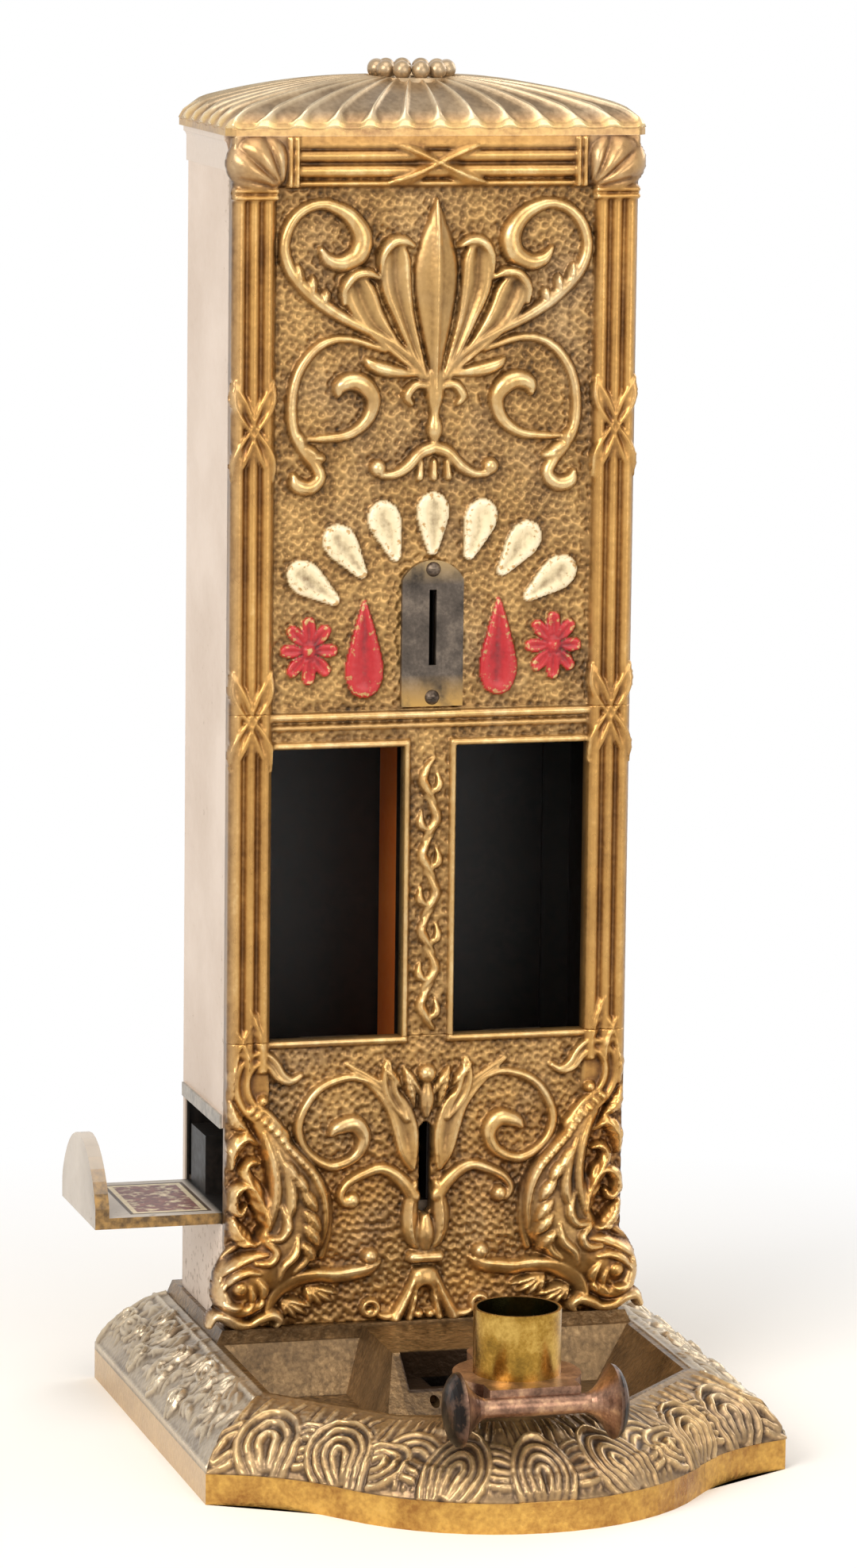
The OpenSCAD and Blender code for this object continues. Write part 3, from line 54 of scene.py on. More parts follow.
def box_mm(node):
    """Lowest and highest corner of a node, in mm."""
    return [[round(v / MM, 2) for v in corner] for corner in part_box(node)]


def middle_y(node):
    low, high = box_mm(node)
    return round((low[1] + high[1]) / 2, 1)


# Front casting in mm: what the frame gives, with the windows inside the lap of their glass
(_, _, SEAT), (_, _, TOP) = box_mm("front_casting")
GLASS_LOW, GLASS_HIGH = box_mm("right_glass")
GLASS_LAP = 2.0
MULLION, INNER = round(GLASS_LOW[0] + GLASS_LAP, 2), round(GLASS_HIGH[0] - GLASS_LAP, 2)
SILL, LINTEL = round(GLASS_LOW[2] + GLASS_LAP, 2), round(GLASS_HIGH[2] - GLASS_LAP, 2)
FACE, BACK = box_mm("coin_plate")[1][1], GLASS_LOW[1]
# Half width of its flat, reach of the feet past it, and levels under the upper panel and the top rail
HALF, OVERHANG, UPPER, RAIL = 55.0, 61.0, 192.5, 331.2
# Least height of carving that is cast past the flat
FOOT_LEAST = 0.9
# Half widths and ends of the slit in the lower panel and of the slot behind the coin plate
SLIT_HALF, SLIT_LOW, SLIT_HIGH = 1.7, 55.5, 80.6
SLOT_HALF, SLOT_LOW, SLOT_HIGH = 1.6, 203.9, 225.3
# Middle of the pilasters and of the top rail, and levels of the ribbon ties
PILASTER, RAIL_MID, TIES = 49.3, 337.4, (267.4, 190.6)
# Step of the carving's grid in mm
GRID = 0.42


# Lines and fields shared by all the carving

def curve(points, spacing=0.5):
    """Points about a spacing apart along a smooth line through control points of any number of values."""
    p = np.asarray(points, float)
    before, after = 2 * p[0] - p[1], 2 * p[-1] - p[-2]
    q = np.vstack([before, p, after])
    out = []
    for a, b, c, d in zip(q, q[1:], q[2:], q[3:]):
        count = max(2, int(np.linalg.norm(c[:2] - b[:2]) / spacing))
        for t in np.arange(count) / count:
            square, cube = 2 * a - 5 * b + 4 * c - d, 3 * b - a - 3 * c + d
            out.append(0.5 * (2 * b + (c - a) * t + square * t**2 + cube * t**3))
    out.append(p[-1])
    return np.array(out)


def blur(field, sigma):
    """Field softened by a bell curve, sigma in grid steps."""
    reach = max(1, int(3 * sigma))
    k = np.exp(-0.5 * (np.arange(-reach, reach + 1) / sigma) ** 2)
    k /= k.sum()
    for axis in (0, 1):
        pad = [(reach, reach) if a == axis else (0, 0) for a in (0, 1)]
        wide = np.pad(field, pad, mode="edge")
        n = field.shape[axis]
        field = sum(w * np.take(wide, np.arange(i, i + n), axis=axis) for i, w in enumerate(k))
    return field


def rubbed(h):
    """Rubbing of a carved face: near 1 on ridges that hands rub, near -1 in hollows that keep the dirt; its
    broad part darkens the ground round tall carving, which is painted shade.
    """
    fine, broad = np.clip((h - blur(h, 2.6)) / 0.5, -1, 1), np.clip((h - blur(h, 8)) / 2.2, -1, 1)
    return fine * 0.7 + broad * 0.3


def pebbles(x, z, size, seed):
    """Distance to the nearest of scattered points, as a share of their spacing."""
    rng = np.random.default_rng(seed)
    jitter = rng.random((256, 256, 2)) * 0.66 + 0.17
    x, z = 0.8 * x - 0.6 * z, 0.6 * x + 0.8 * z
    cx, cz = np.floor(x / size).astype(int), np.floor(z / size).astype(int)
    best = np.full(x.shape, 9.0)
    for dx in (-1, 0, 1):
        for dz in (-1, 0, 1):
            j = jitter[(cx + dx) % 256, (cz + dz) % 256]
            d = np.hypot(x / size - cx - dx - j[..., 0], z / size - cz - dz - j[..., 1])
            best = np.minimum(best, d)
    return best


# Cross sections of a carved member: u is the offset across it, -1 to 1, and t the share along it

def rounded(u, t):
    return np.sqrt(np.clip(1 - u * u, 0, 1))


def ribbed(u, t):
    return rounded(u, t) * (0.72 + 0.28 * np.exp(-((u / 0.22) ** 2)))


def hollow(u, t):
    return rounded(u, t) ** 0.7 * (1 - 0.6 * np.exp(-((u / 0.5) ** 2)) * np.clip(4 * t, 0, 1))


def lipped(u, t):
    return rounded(u, t) ** 0.7 * (0.72 - 0.28 * u)


def leafy(u, t):
    veins = 0.16 * np.cos(2 * math.pi * (5 * t - 0.9 * np.abs(u)))
    return rounded(u, t) ** 0.8 * (0.74 + 0.26 * np.exp(-((u / 0.2) ** 2)) + veins * np.abs(u))


class Carving:
    """Height field over a grid of x and z, in mm above the face that is carved."""

    def __init__(self, x, z):
        self.x, self.z = np.meshgrid(x, z, indexing="ij")
        self.h = np.zeros_like(self.x)

    def sweep(self, line, section=rounded):
        """Member along control points of x, z, half width and height."""
        q = curve(line)
        margin = q[:, 2].max() + 1
        keep = (
            (self.x > q[:, 0].min() - margin) & (self.x < q[:, 0].max() + margin)
            & (self.z > q[:, 1].min() - margin) & (self.z < q[:, 1].max() + margin)
        )
        px, pz = self.x[keep], self.z[keep]
        if not len(px):
            return
        tangent = np.gradient(q[:, :2], axis=0)
        tangent /= np.linalg.norm(tangent, axis=1)[:, None] + 1e-9
        share = np.linspace(0, 1, len(q))
        best = np.full(len(px), -1.0)
        u = np.zeros(len(px))
        t = np.zeros(len(px))
        tall = np.zeros(len(px))
        for (sx, sz, w, h), (tx, tz), s in zip(q, tangent, share):
            dx, dz = px - sx, pz - sz
            near = 1 - np.hypot(dx, dz) / max(w, 0.05)
            closer = near > best
            best = np.where(closer, near, best)
            side = np.sign(-tz * dx + tx * dz)
            u = np.where(closer, side * (1 - near), u)
            t = np.where(closer, s, t)
            tall = np.where(closer, h, tall)
        inside = best > 0
        height = np.where(inside, tall * section(np.clip(u, -1, 1), t), 0)
        self.h[keep] = np.maximum(self.h[keep], height)

    def empty(self):
        """Uncarved field over the same grid."""
        return Carving(self.x[:, 0], self.z[0])

    def ball(self, x, z, r, h):
        d = np.hypot(self.x - x, self.z - z) / r
        self.h = np.maximum(self.h, h * np.sqrt(np.clip(1 - d * d, 0, 1)))

    def ring(self, x, z, r, w, h):
        d = np.abs(np.hypot(self.x - x, self.z - z) - r) / w
        self.h = np.maximum(self.h, h * np.sqrt(np.clip(1 - d * d, 0, 1)))

    def dig(self, x, z, r, depth):
        d = np.hypot(self.x - x, self.z - z) / r
        self.h -= depth * np.clip(1 - d * d, 0, 1)

    def band(self, across, centre, r, h, where):
        """Half-round moulding along a straight line, where across is x or z."""
        d = (across - centre) / r
        self.h = np.where(where, np.maximum(self.h, h * np.sqrt(np.clip(1 - d * d, 0, 1))), self.h)

    def tablet(self, inside, h):
        self.h = np.where(inside, np.maximum(self.h, h), self.h)


def widths(points, shares, half, tall):
    """Control points with the half widths and heights that hold at shares of the line."""
    t = np.linspace(0, 1, len(points))
    return [(*p, w, h) for p, w, h in zip(points, np.interp(t, shares, half), np.interp(t, shares, tall))]


# Carving of the front casting

# Lines of x and z in mm over the right half of the casting

OUTER_SCROLL = [
    (2, 281), (8, 287.5), (15, 292), (25.6, 297.2), (33, 302.4), (39, 308.7), (41.2, 315), (39.8, 321),
    (36.2, 325), (31, 326.6), (25.8, 325), (22.2, 322), (20.2, 317.8), (21.4, 313.4), (25.3, 311.2),
    (29.2, 312), (31.4, 314.8),
]
STEM_SCROLL = [
    (13.5, 288.2), (22, 291), (28, 291), (33, 288.3), (37.1, 282.6), (38.8, 275.4), (38.4, 268),
    (36, 262.8), (32.6, 258.6), (31.2, 255), (33.8, 252.4), (37.2, 253), (38.4, 255.4),
]
INNER_SCROLL = [
    (35, 265), (29.6, 265.2), (23.2, 266.2), (18.5, 269.8), (16.8, 275), (19, 278.8), (22.6, 280.2),
    (25.8, 279), (26.4, 276.6),
]
LOWER_SCROLL = [
    (12, 89.6), (16.5, 92.6), (22.5, 93.7), (30.5, 90.3), (35.2, 82), (33.5, 74.5), (26.6, 69.9),
    (20, 72), (17.4, 77), (20, 81), (24.6, 80.2), (26.4, 78.6),
]
VASE_SCROLL = [
    (3.4, 60.5), (6, 64.2), (9.4, 67.2), (13, 68.5), (17.4, 67.2), (21.6, 65), (23.6, 61.8),
    (22.2, 59.2), (20.2, 60),
]
TAIL = [
    (34.8, 94.9), (37.5, 93.6), (40.4, 94.9), (42.6, 98), (45.4, 100), (48.6, 99), (50.9, 95.6),
    (51, 91), (49, 86.8), (45, 83.3), (41, 78),
]
SPINE = [
    (48.6, 86.2), (45, 83.3), (41.5, 80), (38.6, 76.2), (34.8, 72.2), (30.8, 67.6), (28.2, 62.6),
    (27.2, 57), (27.4, 51), (28.8, 45.4),
]
TRUNK = [(46, 82, 2.4, 3), (41.6, 75.4, 4.4, 3.8), (37.6, 68, 7, 4.6), (36.2, 60, 9, 5.2),
         (37.4, 52, 9.4, 5.8), (42.4, 45.4, 8.6, 6.4), (48, 41, 7.6, 6.8)]
LIP = [(43.8, 32), (42.6, 35.2), (40, 38), (35.5, 39.8), (30, 40.2), (25, 39.8), (20, 40.2),
       (15.6, 41), (12.6, 42.8)]
FOOT = [(60, 28.4), (58.6, 30.8), (55.6, 30.6), (52.4, 28.6), (49, 28.2), (46, 29.8), (43, 30.6),
        (40.8, 29), (41.6, 27.4)]


def leaf(x, z, turn, length, half, tall, bend=0.25):
    """Control points of a pointed leaf from its root, turned in degrees from straight up toward +x."""
    a = math.radians(turn)
    ahead, aside = (math.sin(a), math.cos(a)), (math.cos(a), -math.sin(a))
    steps = ((0, 0, 0.3, 0.6), (0.35, 0.5, 0.9, 0.95), (0.7, 0.8, 0.8, 1), (1, 1, 0.2, 0.6))
    line = []
    for f, b, w, h in steps:
        dx, dz = (f * ahead[k] + bend * b * b * aside[k] for k in (0, 1))
        line.append((x + length * dx, z + length * dz, half * w, tall * h))
    return line


def carve_upper(c):
    """Palmette, scrolls, small vase and its foot on the hammered upper panel."""
    c.sweep(widths(OUTER_SCROLL, (0, 0.25, 0.55, 0.78, 0.92, 1), (0.9, 2.0, 1.5, 3.2, 2.2, 0.8),
                   (1.6, 2.6, 2.3, 3.8, 3.4, 2.4)))
    c.sweep(widths(STEM_SCROLL, (0, 0.3, 0.7, 0.9, 1), (0.9, 1.5, 1.8, 2.4, 0.9),
                   (1.4, 2.1, 2.4, 3.2, 2.2)))
    c.sweep(widths(INNER_SCROLL, (0, 0.4, 0.68, 0.88, 1), (0.8, 1.9, 2.9, 2.1, 0.9),
                   (1.2, 2.4, 3.6, 3.2, 2.2)))
    for x, z, turn, length in ((36.4, 304, 18, 7), (33.6, 301.8, 8, 6), (30.6, 299.8, -4, 4.6),
                               (36.6, 263.4, -112, 6.4), (34.6, 260.4, -88, 5), (35.6, 262, 24, 5)):
        c.sweep(leaf(x, z, turn, length, 1.9, 3.2, -0.15), ribbed)
    # Palmette: hollow tongues with rolled tips, and a keeled one in the middle
    c.sweep([(3.8, 281, 0.9, 1.8), (8, 286, 1.6, 2.2), (12.6, 290.6, 2.4, 2.6),
             (17.6, 296.6, 3.9, 2.8), (20.4, 302.2, 4.6, 3.1), (21.4, 305, 3.8, 3.2)], hollow)
    c.sweep([(25, 300.6, 0.7, 2.4), (25, 304.4, 1.4, 3.4), (22.4, 308, 1.7, 3.9),
             (18.8, 308.6, 1.5, 3.7), (15.8, 307.4, 0.8, 2.8)])
    c.sweep([(2.6, 281, 0.9, 2.0), (5.8, 289, 1.9, 2.6), (8.6, 297, 2.9, 2.9), (10.8, 305, 4.3, 3.2),
             (11.2, 311, 4.3, 3.4), (11.4, 314.4, 3.4, 3.6)], hollow)
    c.sweep([(15.2, 308.4, 0.7, 2.6), (14.8, 313, 1.4, 3.6), (12.4, 316.4, 1.7, 4.2),
             (9.2, 317, 1.5, 4.0), (6.4, 315.6, 0.8, 3.0)])
    c.sweep([(0, 279, 1.2, 2.8), (0, 288, 2.8, 3.1), (0, 297, 4.7, 3.4), (0, 307, 6.2, 3.7),
             (0, 315, 4.9, 3.6), (0, 321.5, 2.6, 3.2), (0, 327.6, 0.5, 2.2)], ribbed)
    c.sweep([(3, 281.5, 0.6, 1.4), (8, 282.2, 1.3, 2.2), (13, 283, 2.0, 3.0), (17.2, 284.4, 1.7, 2.8),
             (19, 286, 0.5, 1.6)])
    # Small vase with two curls, on an arched foot with beads
    c.sweep([(0, 281, 3.2, 2.2), (0, 276.5, 2.6, 2.6), (0, 271.5, 1.4, 2.0), (0, 267.4, 2.3, 2.6),
             (0, 265, 1.6, 2.2)])
    c.sweep([(1.4, 278.6, 1.1, 2.0), (5.2, 279, 1.4, 2.6), (7.6, 276.2, 1.4, 2.6), (6.4, 274, 0.8, 2.0)])
    c.sweep([(0.3, 262.4, 2.0, 2.6), (3.8, 261, 1.8, 2.6), (7.4, 257.4, 1.7, 2.6),
             (11, 255.4, 1.4, 2.4), (14.4, 255.4, 1.2, 2.4)])
    c.ball(15.4, 257.2, 2.4, 3.2)
    c.dig(0, 258.6, 2.2, 2.2)
    for x in (0, 3.6):
        c.sweep([(x, 258.6, 0.9, 1.8), (x * 1.1, 254.6, 1.2, 2.2)])


def carve_lower(c):
    """Dolphins, scrolls, the slit's leaf surround and the tasselled foot under it."""
    c.sweep(widths(LOWER_SCROLL, (0, 0.3, 0.62, 0.85, 1), (0.9, 1.3, 1.6, 2.8, 1.0),
                   (1.5, 2.0, 2.4, 3.6, 2.4)))
    c.sweep(widths(VASE_SCROLL, (0, 0.3, 0.6, 0.85, 1), (2.2, 1.8, 1.3, 1.2, 0.8),
                   (2.2, 2.4, 2.2, 2.2, 2.0)))
    c.ball(20.6, 60.2, 2.3, 3.0)
    # Broad smooth leaves that part round the slit and spread over it
    c.sweep([(3.8, 68.4, 1.2, 1.6), (4.9, 73, 2.9, 2.4), (5.9, 79, 3.7, 2.6), (8, 85, 3.4, 2.4),
             (12, 89.6, 2.4, 2.2), (17, 93.6, 1.4, 1.8), (22, 97.4, 0.5, 1.2)], hollow)
    c.sweep([(5.6, 82, 1.2, 2.4), (9.4, 88, 2.1, 3.0), (10.8, 93, 1.9, 3.2),
             (10.9, 97.4, 0.9, 2.4)], hollow)
    for x, z, turn, length in ((3.4, 85, 8, 11), (1.6, 88, 24, 9), (7.2, 90.6, 34, 8)):
        c.sweep(leaf(x, z, turn, length, 1.5, 3.0, 0.12), leafy)
    c.sweep([(0, 91, 1.6, 2.0), (0, 87, 2.4, 2.6), (0, 82.8, 1.0, 1.8)])
    c.ball(0, 94, 2.7, 3.4)
    # Bud of two petals, collar, and tassel with a dark hollow
    c.sweep([(2.9, 64, 0.9, 2.0), (4.2, 58, 2.2, 2.6), (4.3, 52.4, 2.4, 3.0), (3.3, 48, 1.6, 2.6),
             (1.6, 45.8, 0.7, 1.8)], ribbed)
    c.sweep([(0, 54.4, 1.6, 2.4), (0, 50.4, 2.7, 3.2), (0, 46.4, 1.8, 2.4)])
    c.sweep([(-3.6, 43.8, 1.8, 3.4), (3.6, 43.8, 1.8, 3.4)])
    c.ball(0, 37.4, 4.4, 3.4)
    for line in ([(2.6, 39, 1.2, 2.8), (4.8, 33.6, 1.7, 3.4), (8.2, 27, 2.0, 3.4)],
                 [(1.8, 37.4, 0.8, 3.2), (2.9, 32.4, 1.1, 3.2), (4.2, 27, 1.4, 3.0)]):
        c.sweep(line, ribbed)
    for z in (34.4, 30.8):
        c.dig(0, z, 2.3, 3.0)
    c.ball(1.6, 28, 1.4, 2.4)
    c.ball(15.4, 44.6, 2.4, 3.4)
    c.ring(15.2, 30.4, 2.0, 0.9, 2.6)
    c.ball(15.2, 29.6, 1.2, 2.8)
    c.sweep([(13.6, 28.6, 0.8, 1.8), (10.6, 27.6, 1.2, 2.2), (8.2, 28.4, 0.8, 1.8)])
    carve_dolphin(c)


def carve_dolphin(c):
    """Leafy dolphin, head down: bold forms first, then the small carving that rides on them."""
    form, fine = c.empty(), c.empty()
    form.sweep(widths(TAIL, (0, 0.2, 0.5, 0.8, 1), (0.8, 1.8, 2.4, 2.6, 3.4),
                      (1.8, 2.8, 3.4, 3.6, 3.8)), hollow)
    form.sweep(TRUNK)
    # Curled leaves that fill the space out to the pilaster
    for line in (
        [(43.6, 54, 2.0, 4.6), (45.4, 60, 3.0, 4.8), (47.4, 64, 2.6, 4.8), (49.4, 67.4, 2.0, 4.6),
         (50.2, 70.2, 1.6, 4.6), (48.6, 72.2, 1.3, 4.4), (46.2, 71.8, 0.6, 3.6)],
        [(46.4, 59.4, 0.9, 4.0), (47.6, 64.2, 1.6, 5.0), (50.4, 65.8, 1.8, 5.4), (53, 63.8, 1.8, 5.4),
         (53.3, 60.2, 1.7, 5.2), (51.5, 58.2, 1.3, 5.0), (50, 60, 0.8, 4.4)],
        [(53.8, 70.6, 0.8, 3.4), (53.2, 75.6, 2.0, 4.2), (50, 78.8, 1.8, 4.4), (46.8, 76.8, 0.6, 3.2)],
        [(47.4, 49.4, 1.6, 5.0), (51.6, 52.4, 2.4, 5.2), (53.6, 56.6, 1.2, 4.2)],
        [(54.2, 88, 0.8, 3.0), (52.6, 83.4, 2.1, 3.8), (49.4, 80.6, 0.6, 2.8)],
        [(52, 102, 0.8, 3.0), (53.6, 95.6, 1.6, 3.6), (53.6, 89.4, 0.6, 2.8)],
    ):
        form.sweep(line, leafy)
    form.ball(45.4, 88.6, 1.7, 3.4)
    # Head and snout, horn-shaped lip, feathers under it, and curled foot
    head = 1 - ((form.x - 50.4) / 8.8) ** 2 - ((form.z - 40) / 7.6) ** 2
    form.h = np.maximum(form.h, 6.6 * np.sqrt(np.clip(head, 0, 1)))
    form.sweep([(46.4, 34, 2.2, 5.6), (50.6, 32.4, 2.6, 6.2), (54.6, 33.4, 3.0, 6.6),
                (56.6, 37, 2.8, 6.4), (57, 40.4, 2.0, 5.2)])
    form.sweep(widths(LIP, (0, 0.25, 0.55, 0.85, 1), (2.0, 3.0, 2.2, 2.1, 0.5),
                      (6.4, 6.2, 4.8, 3.8, 2.6)), lipped)
    for x, z in ((33.4, 37.6), (40.4, 34.4)):
        for turn, length in ((206, 5.4), (226, 7.4), (244, 9), (260, 9.4)):
            form.sweep(leaf(x, z, turn, length, 1.5, 3.8, -0.12), ribbed)
    form.sweep(widths(FOOT, (0, 0.3, 0.5, 0.7, 1), (1.4, 2.3, 1.8, 2.4, 1.0), (5.2, 6.2, 5.2, 6.2, 4.8)))
    # Smooth belly band, beaded toward the tail, with hooked lobes that lap over it
    fine.sweep(widths(SPINE, (0, 0.4, 0.7, 1), (0.9, 1.2, 1.8, 1.2), (1.0, 1.4, 1.9, 1.2)))
    for k, (x, z) in enumerate(curve(SPINE, 2.0)):
        if k < 12:
            fine.ball(x, z, 1.2, 1.9)
        if k > 8 and k % 2:
            fine.sweep(leaf(x + 7, z + 1.6, 236, 6.6, 1.8, 2.4, -0.35), leafy)
    # Long folds down the flank and the wavy edge of the gill leaf
    for line in (
        [(45.4, 80, 0.6, 0.8), (42.8, 71, 1.5, 1.6), (42.4, 63, 1.7, 1.8), (44.2, 55.6, 1.4, 1.6),
         (46.6, 50.6, 0.5, 0.8)],
        [(41.6, 75, 0.6, 0.8), (38.6, 67, 1.5, 1.7), (38.2, 60.6, 1.6, 1.9), (40.4, 54.4, 0.6, 1.0)],
        [(40.6, 60, 0.6, 1.2), (39.2, 55.4, 1.4, 2.6), (41.2, 52, 1.2, 2.6), (45, 51.4, 1.1, 2.4),
         (42.6, 48.4, 1.2, 2.6), (44.2, 45.6, 1.2, 2.4), (48.2, 45.4, 0.6, 1.4)],
        [(36.4, 52, 0.5, 1.0), (37.2, 47.4, 1.4, 2.2), (40.4, 44.2, 1.2, 2.0), (41.4, 40.6, 0.5, 1.0)],
        [(33, 48.6, 0.5, 1.0), (34, 44.6, 1.2, 1.9), (37, 42, 0.6, 1.2)],
    ):
        fine.sweep(line, ribbed)
    # Brows over a small hooded eye, and cheek folds
    for line in (
        [(47, 50.4, 0.5, 0.9), (51.6, 49.4, 1.3, 1.8), (56, 46.4, 1.0, 1.5), (58.4, 42.6, 0.6, 0.9)],
        [(44.6, 47.6, 0.5, 0.9), (48.8, 47.2, 1.2, 1.9), (53, 45.4, 1.3, 2.0), (57, 42.6, 0.9, 1.4),
         (58.6, 39.4, 0.5, 0.8)],
        [(47, 42.6, 0.5, 0.9), (50.4, 43.2, 1.1, 1.9), (54, 41.8, 1.2, 1.9), (56.8, 38.8, 0.6, 1.0)],
        [(47.6, 41, 0.5, 0.8), (45.6, 37.4, 1.3, 1.8), (46.8, 33, 0.6, 0.9)],
        [(49.6, 38.8, 0.5, 0.8), (48.6, 35.8, 1.0, 1.4), (50, 32.4, 0.5, 0.8)],
        [(50.6, 35, 0.5, 0.8), (53.4, 33.6, 1.0, 1.5), (57, 34.4, 0.7, 1.1)],
    ):
        fine.sweep(line)
    fine.ball(52.4, 38.6, 2.0, 1.5)
    c.h = np.maximum(c.h, form.h + fine.h)


def carve_frame(c):
    """Reeded pilasters, top rail, corner shells, ribbon ties and window beads."""
    x, z = c.x, c.z
    pilaster = (x >= INNER) & (x <= HALF)
    c.tablet(pilaster & (z > 84), 0.9)
    for centre in (PILASTER - 3.8, PILASTER, PILASTER + 3.8):
        c.band(x, centre, 1.75, 2.5, pilaster & (z > 96) & (z < RAIL + 6))
    c.tablet((z > 341) & (x <= HALF), 2.5)
    for centre, r, h in ((339.2, 1.95, 2.6), (335.3, 1.95, 2.6), (332.0, 0.9, 1.6)):
        c.band(z, centre, r, h, x <= 50)
    # Rail over the windows, with a dark quirk under its upper fillet
    field = x <= INNER
    c.tablet(field & (z > 190.1) & (z < UPPER), 1.3)
    c.band(z, 191.3, 1.3, 1.7, field)
    c.band(z, 188.4, 0.9, 0.8, field)
    # Beads round the windows
    upright = (z > SILL - 1.6) & (z < LINTEL + 1.6)
    for edge in (MULLION - 0.7, INNER + 0.6):
        c.band(x, edge, 1.0, 1.3, upright)
    level = (x > MULLION - 1.6) & (x < INNER + 1.6)
    for edge in (SILL - 0.8, LINTEL + 0.8):
        c.band(z, edge, 1.1, 1.4, level)
    # Crossed ribbon ties with leaf tips
    for mid in TIES:
        for lean in (-1, 1):
            c.sweep([(PILASTER - lean * 5.4, mid + 13, 0.6, 2.6),
                     (PILASTER - lean * 3.6, mid + 7, 2.5, 3.9), (PILASTER, mid, 1.5, 4.0),
                     (PILASTER + lean * 3.6, mid - 7, 2.5, 3.9),
                     (PILASTER + lean * 5.4, mid - 13, 0.6, 2.6)], hollow)
    for lean in (-1, 1):
        c.sweep([(lean * 13, RAIL_MID + 5.2, 0.7, 2.8), (lean * 7, RAIL_MID + 3.2, 2.5, 4.2),
                 (0, RAIL_MID, 1.7, 4.4), (-lean * 7, RAIL_MID - 3.2, 2.5, 4.2),
                 (-lean * 13, RAIL_MID - 5.2, 0.7, 2.8)], ribbed)
    # Shells at the corners, fluted out from their inner lower edge, and the rings below and beside them
    dx, dz = (x - 48.2) / 9.0, (z - RAIL_MID) / 8.0
    dome = np.sqrt(np.clip(1 - dx * dx - dz * dz, 0, 1))
    fan = np.arctan2(z - 330.4, x - 41.6)
    c.h = np.maximum(c.h, np.where(dome > 0, dome * (4.4 + 2.0 * np.abs(np.cos(6.5 * fan)) ** 0.7), 0))
    for centre in (38.2, 40.0):
        c.band(x, centre, 0.95, 3.6, (z > RAIL - 0.4) & (z < TOP))
    for centre in (330.2, 328.4):
        c.band(z, centre, 0.9, 3.4, (x > INNER - 0.6) & (x <= HALF))
    # Leaf tips at the foot of the pilasters
    for line in (
        [(45.4, 98, 0.8, 2.4), (46.6, 107, 2.1, 3.4), (50.4, 116, 0.6, 2.6)],
        [(53.6, 97, 0.8, 2.4), (51.6, 104, 2.0, 3.2), (47.4, 111, 0.6, 2.6)],
        [(49.4, 94, 0.8, 2.4), (49.8, 101, 2.2, 3.6), (53.2, 108.6, 0.7, 2.8)],
    ):
        c.sweep(line, leafy)


def carve_vine(c):
    """Flame-shaped leaves that sway up the mullion, not the same on both sides."""
    for k in range(7):
        side, z = (1 if k % 2 else -1), 106 + 10.2 * k
        c.sweep([(-1.8 * side, z, 0.5, 0.9), (0.2 * side, z + 3, 1.3, 2.0),
                 (1.9 * side, z + 6.4, 1.5, 2.2), (0.6 * side, z + 10, 1.0, 1.7),
                 (-1.4 * side, z + 12.4, 0.4, 0.9)], ribbed)
        c.sweep([(0.6 * side, z + 2.4, 0.5, 1.0), (-2.4 * side, z + 4.6, 1.2, 1.8),
                 (-2.2 * side, z + 8, 0.4, 1.0)])


def tongue(u, t):
    return rounded(u, t) ** 0.5 * (1 - 0.42 * np.exp(-((u / 0.5) ** 2)))


def plain_ornaments(c):
    """Cream tongues over the coin plate, a red drop and rosette beside it; gives both paints' masks."""
    bare = c.h.copy()
    for a in np.radians((0, 17.6, 35.2, 52.8)):
        c.sweep([(r * math.sin(a), 202.5 + 0.98 * r * math.cos(a), w, 1.7)
                 for r, w in ((33.6, 1.6), (38, 3.0), (43.4, 4.5), (45.2, 3.9))], tongue)
    cream = c.h > bare + 0.3
    bare = c.h.copy()
    c.sweep([(18.4, 221.5, 0.6, 1.4), (18.4, 213, 3.2, 1.7), (18.4, 204, 5.3, 1.8),
             (18.4, 200.6, 4.6, 1.8)], tongue)
    for a in np.radians(np.arange(0, 360, 45)):
        c.sweep([(33.6 + r * math.sin(a), 209 + 1.2 * r * math.cos(a), w, 1.6)
                 for r, w in ((2.0, 0.8), (4.6, 1.9), (6.2, 1.7))], tongue)
    c.ball(33.6, 209, 2.1, 1.9)
    red = c.h > bare + 0.3
    return cream, red


def stretches(edges):
    """Grid lines through every given edge, about one grid step apart."""
    out = [edges[0]]
    for a, b in zip(edges, edges[1:]):
        n = max(1, round((b - a) / GRID))
        out += [a + (b - a) * k / n for k in range(1, n + 1)]
    return np.array(out)


def front_field():
    """Whole front: grid lines, height, rubbing and painted shade from hollow to ridge, and paint masks."""
    half_x = stretches([0, SLOT_HALF, SLIT_HALF, MULLION, INNER, HALF, OVERHANG])
    zs = stretches([SEAT, SLIT_LOW, SLIT_HIGH, SILL, LINTEL, UPPER, SLOT_LOW, SLOT_HIGH, RAIL, TOP])
    c = Carving(half_x, zs)
    carve_frame(c)
    carve_upper(c)
    carve_lower(c)
    cream, red = plain_ornaments(c)
    both = lambda a: np.concatenate([a[:0:-1], a])
    xs = np.concatenate([-half_x[:0:-1], half_x])
    whole, cream, red = Carving(xs, zs), both(cream), both(red)
    whole.h = both(c.h)
    carve_vine(whole)
    x, z, h = whole.x, whole.z, whole.h
    # Hammered ground: shallow pits about 2 mm apart, only where nothing stands on it
    ground = np.clip(1 - h / 0.7, 0, 1)
    pits = ground * np.exp(-((pebbles(x, z, 1.9, 7) / 0.36) ** 2))
    # Colour level from rubbed ridge to dirty hollow, with painted shade on the ground round tall carving and
    # darker pits
    wear = np.maximum(rubbed(blur(h, 0.6)), -1 + 0.6 * ground) - 0.6 * pits + 0.1 * ground
    wear *= np.where((abs(x) > INNER) & (z > SILL), 0.65, 1)
    h = blur(h - 0.75 * pits + 0.1 * pebbles(x, z, 1.1, 3), 0.45)
    return xs, zs, x, z, h, wear, cream, red


# Mesh makers

def linked(name, data):
    obj = bpy.data.objects.new(name, data)
    bpy.context.scene.collection.objects.link(obj)
    return obj


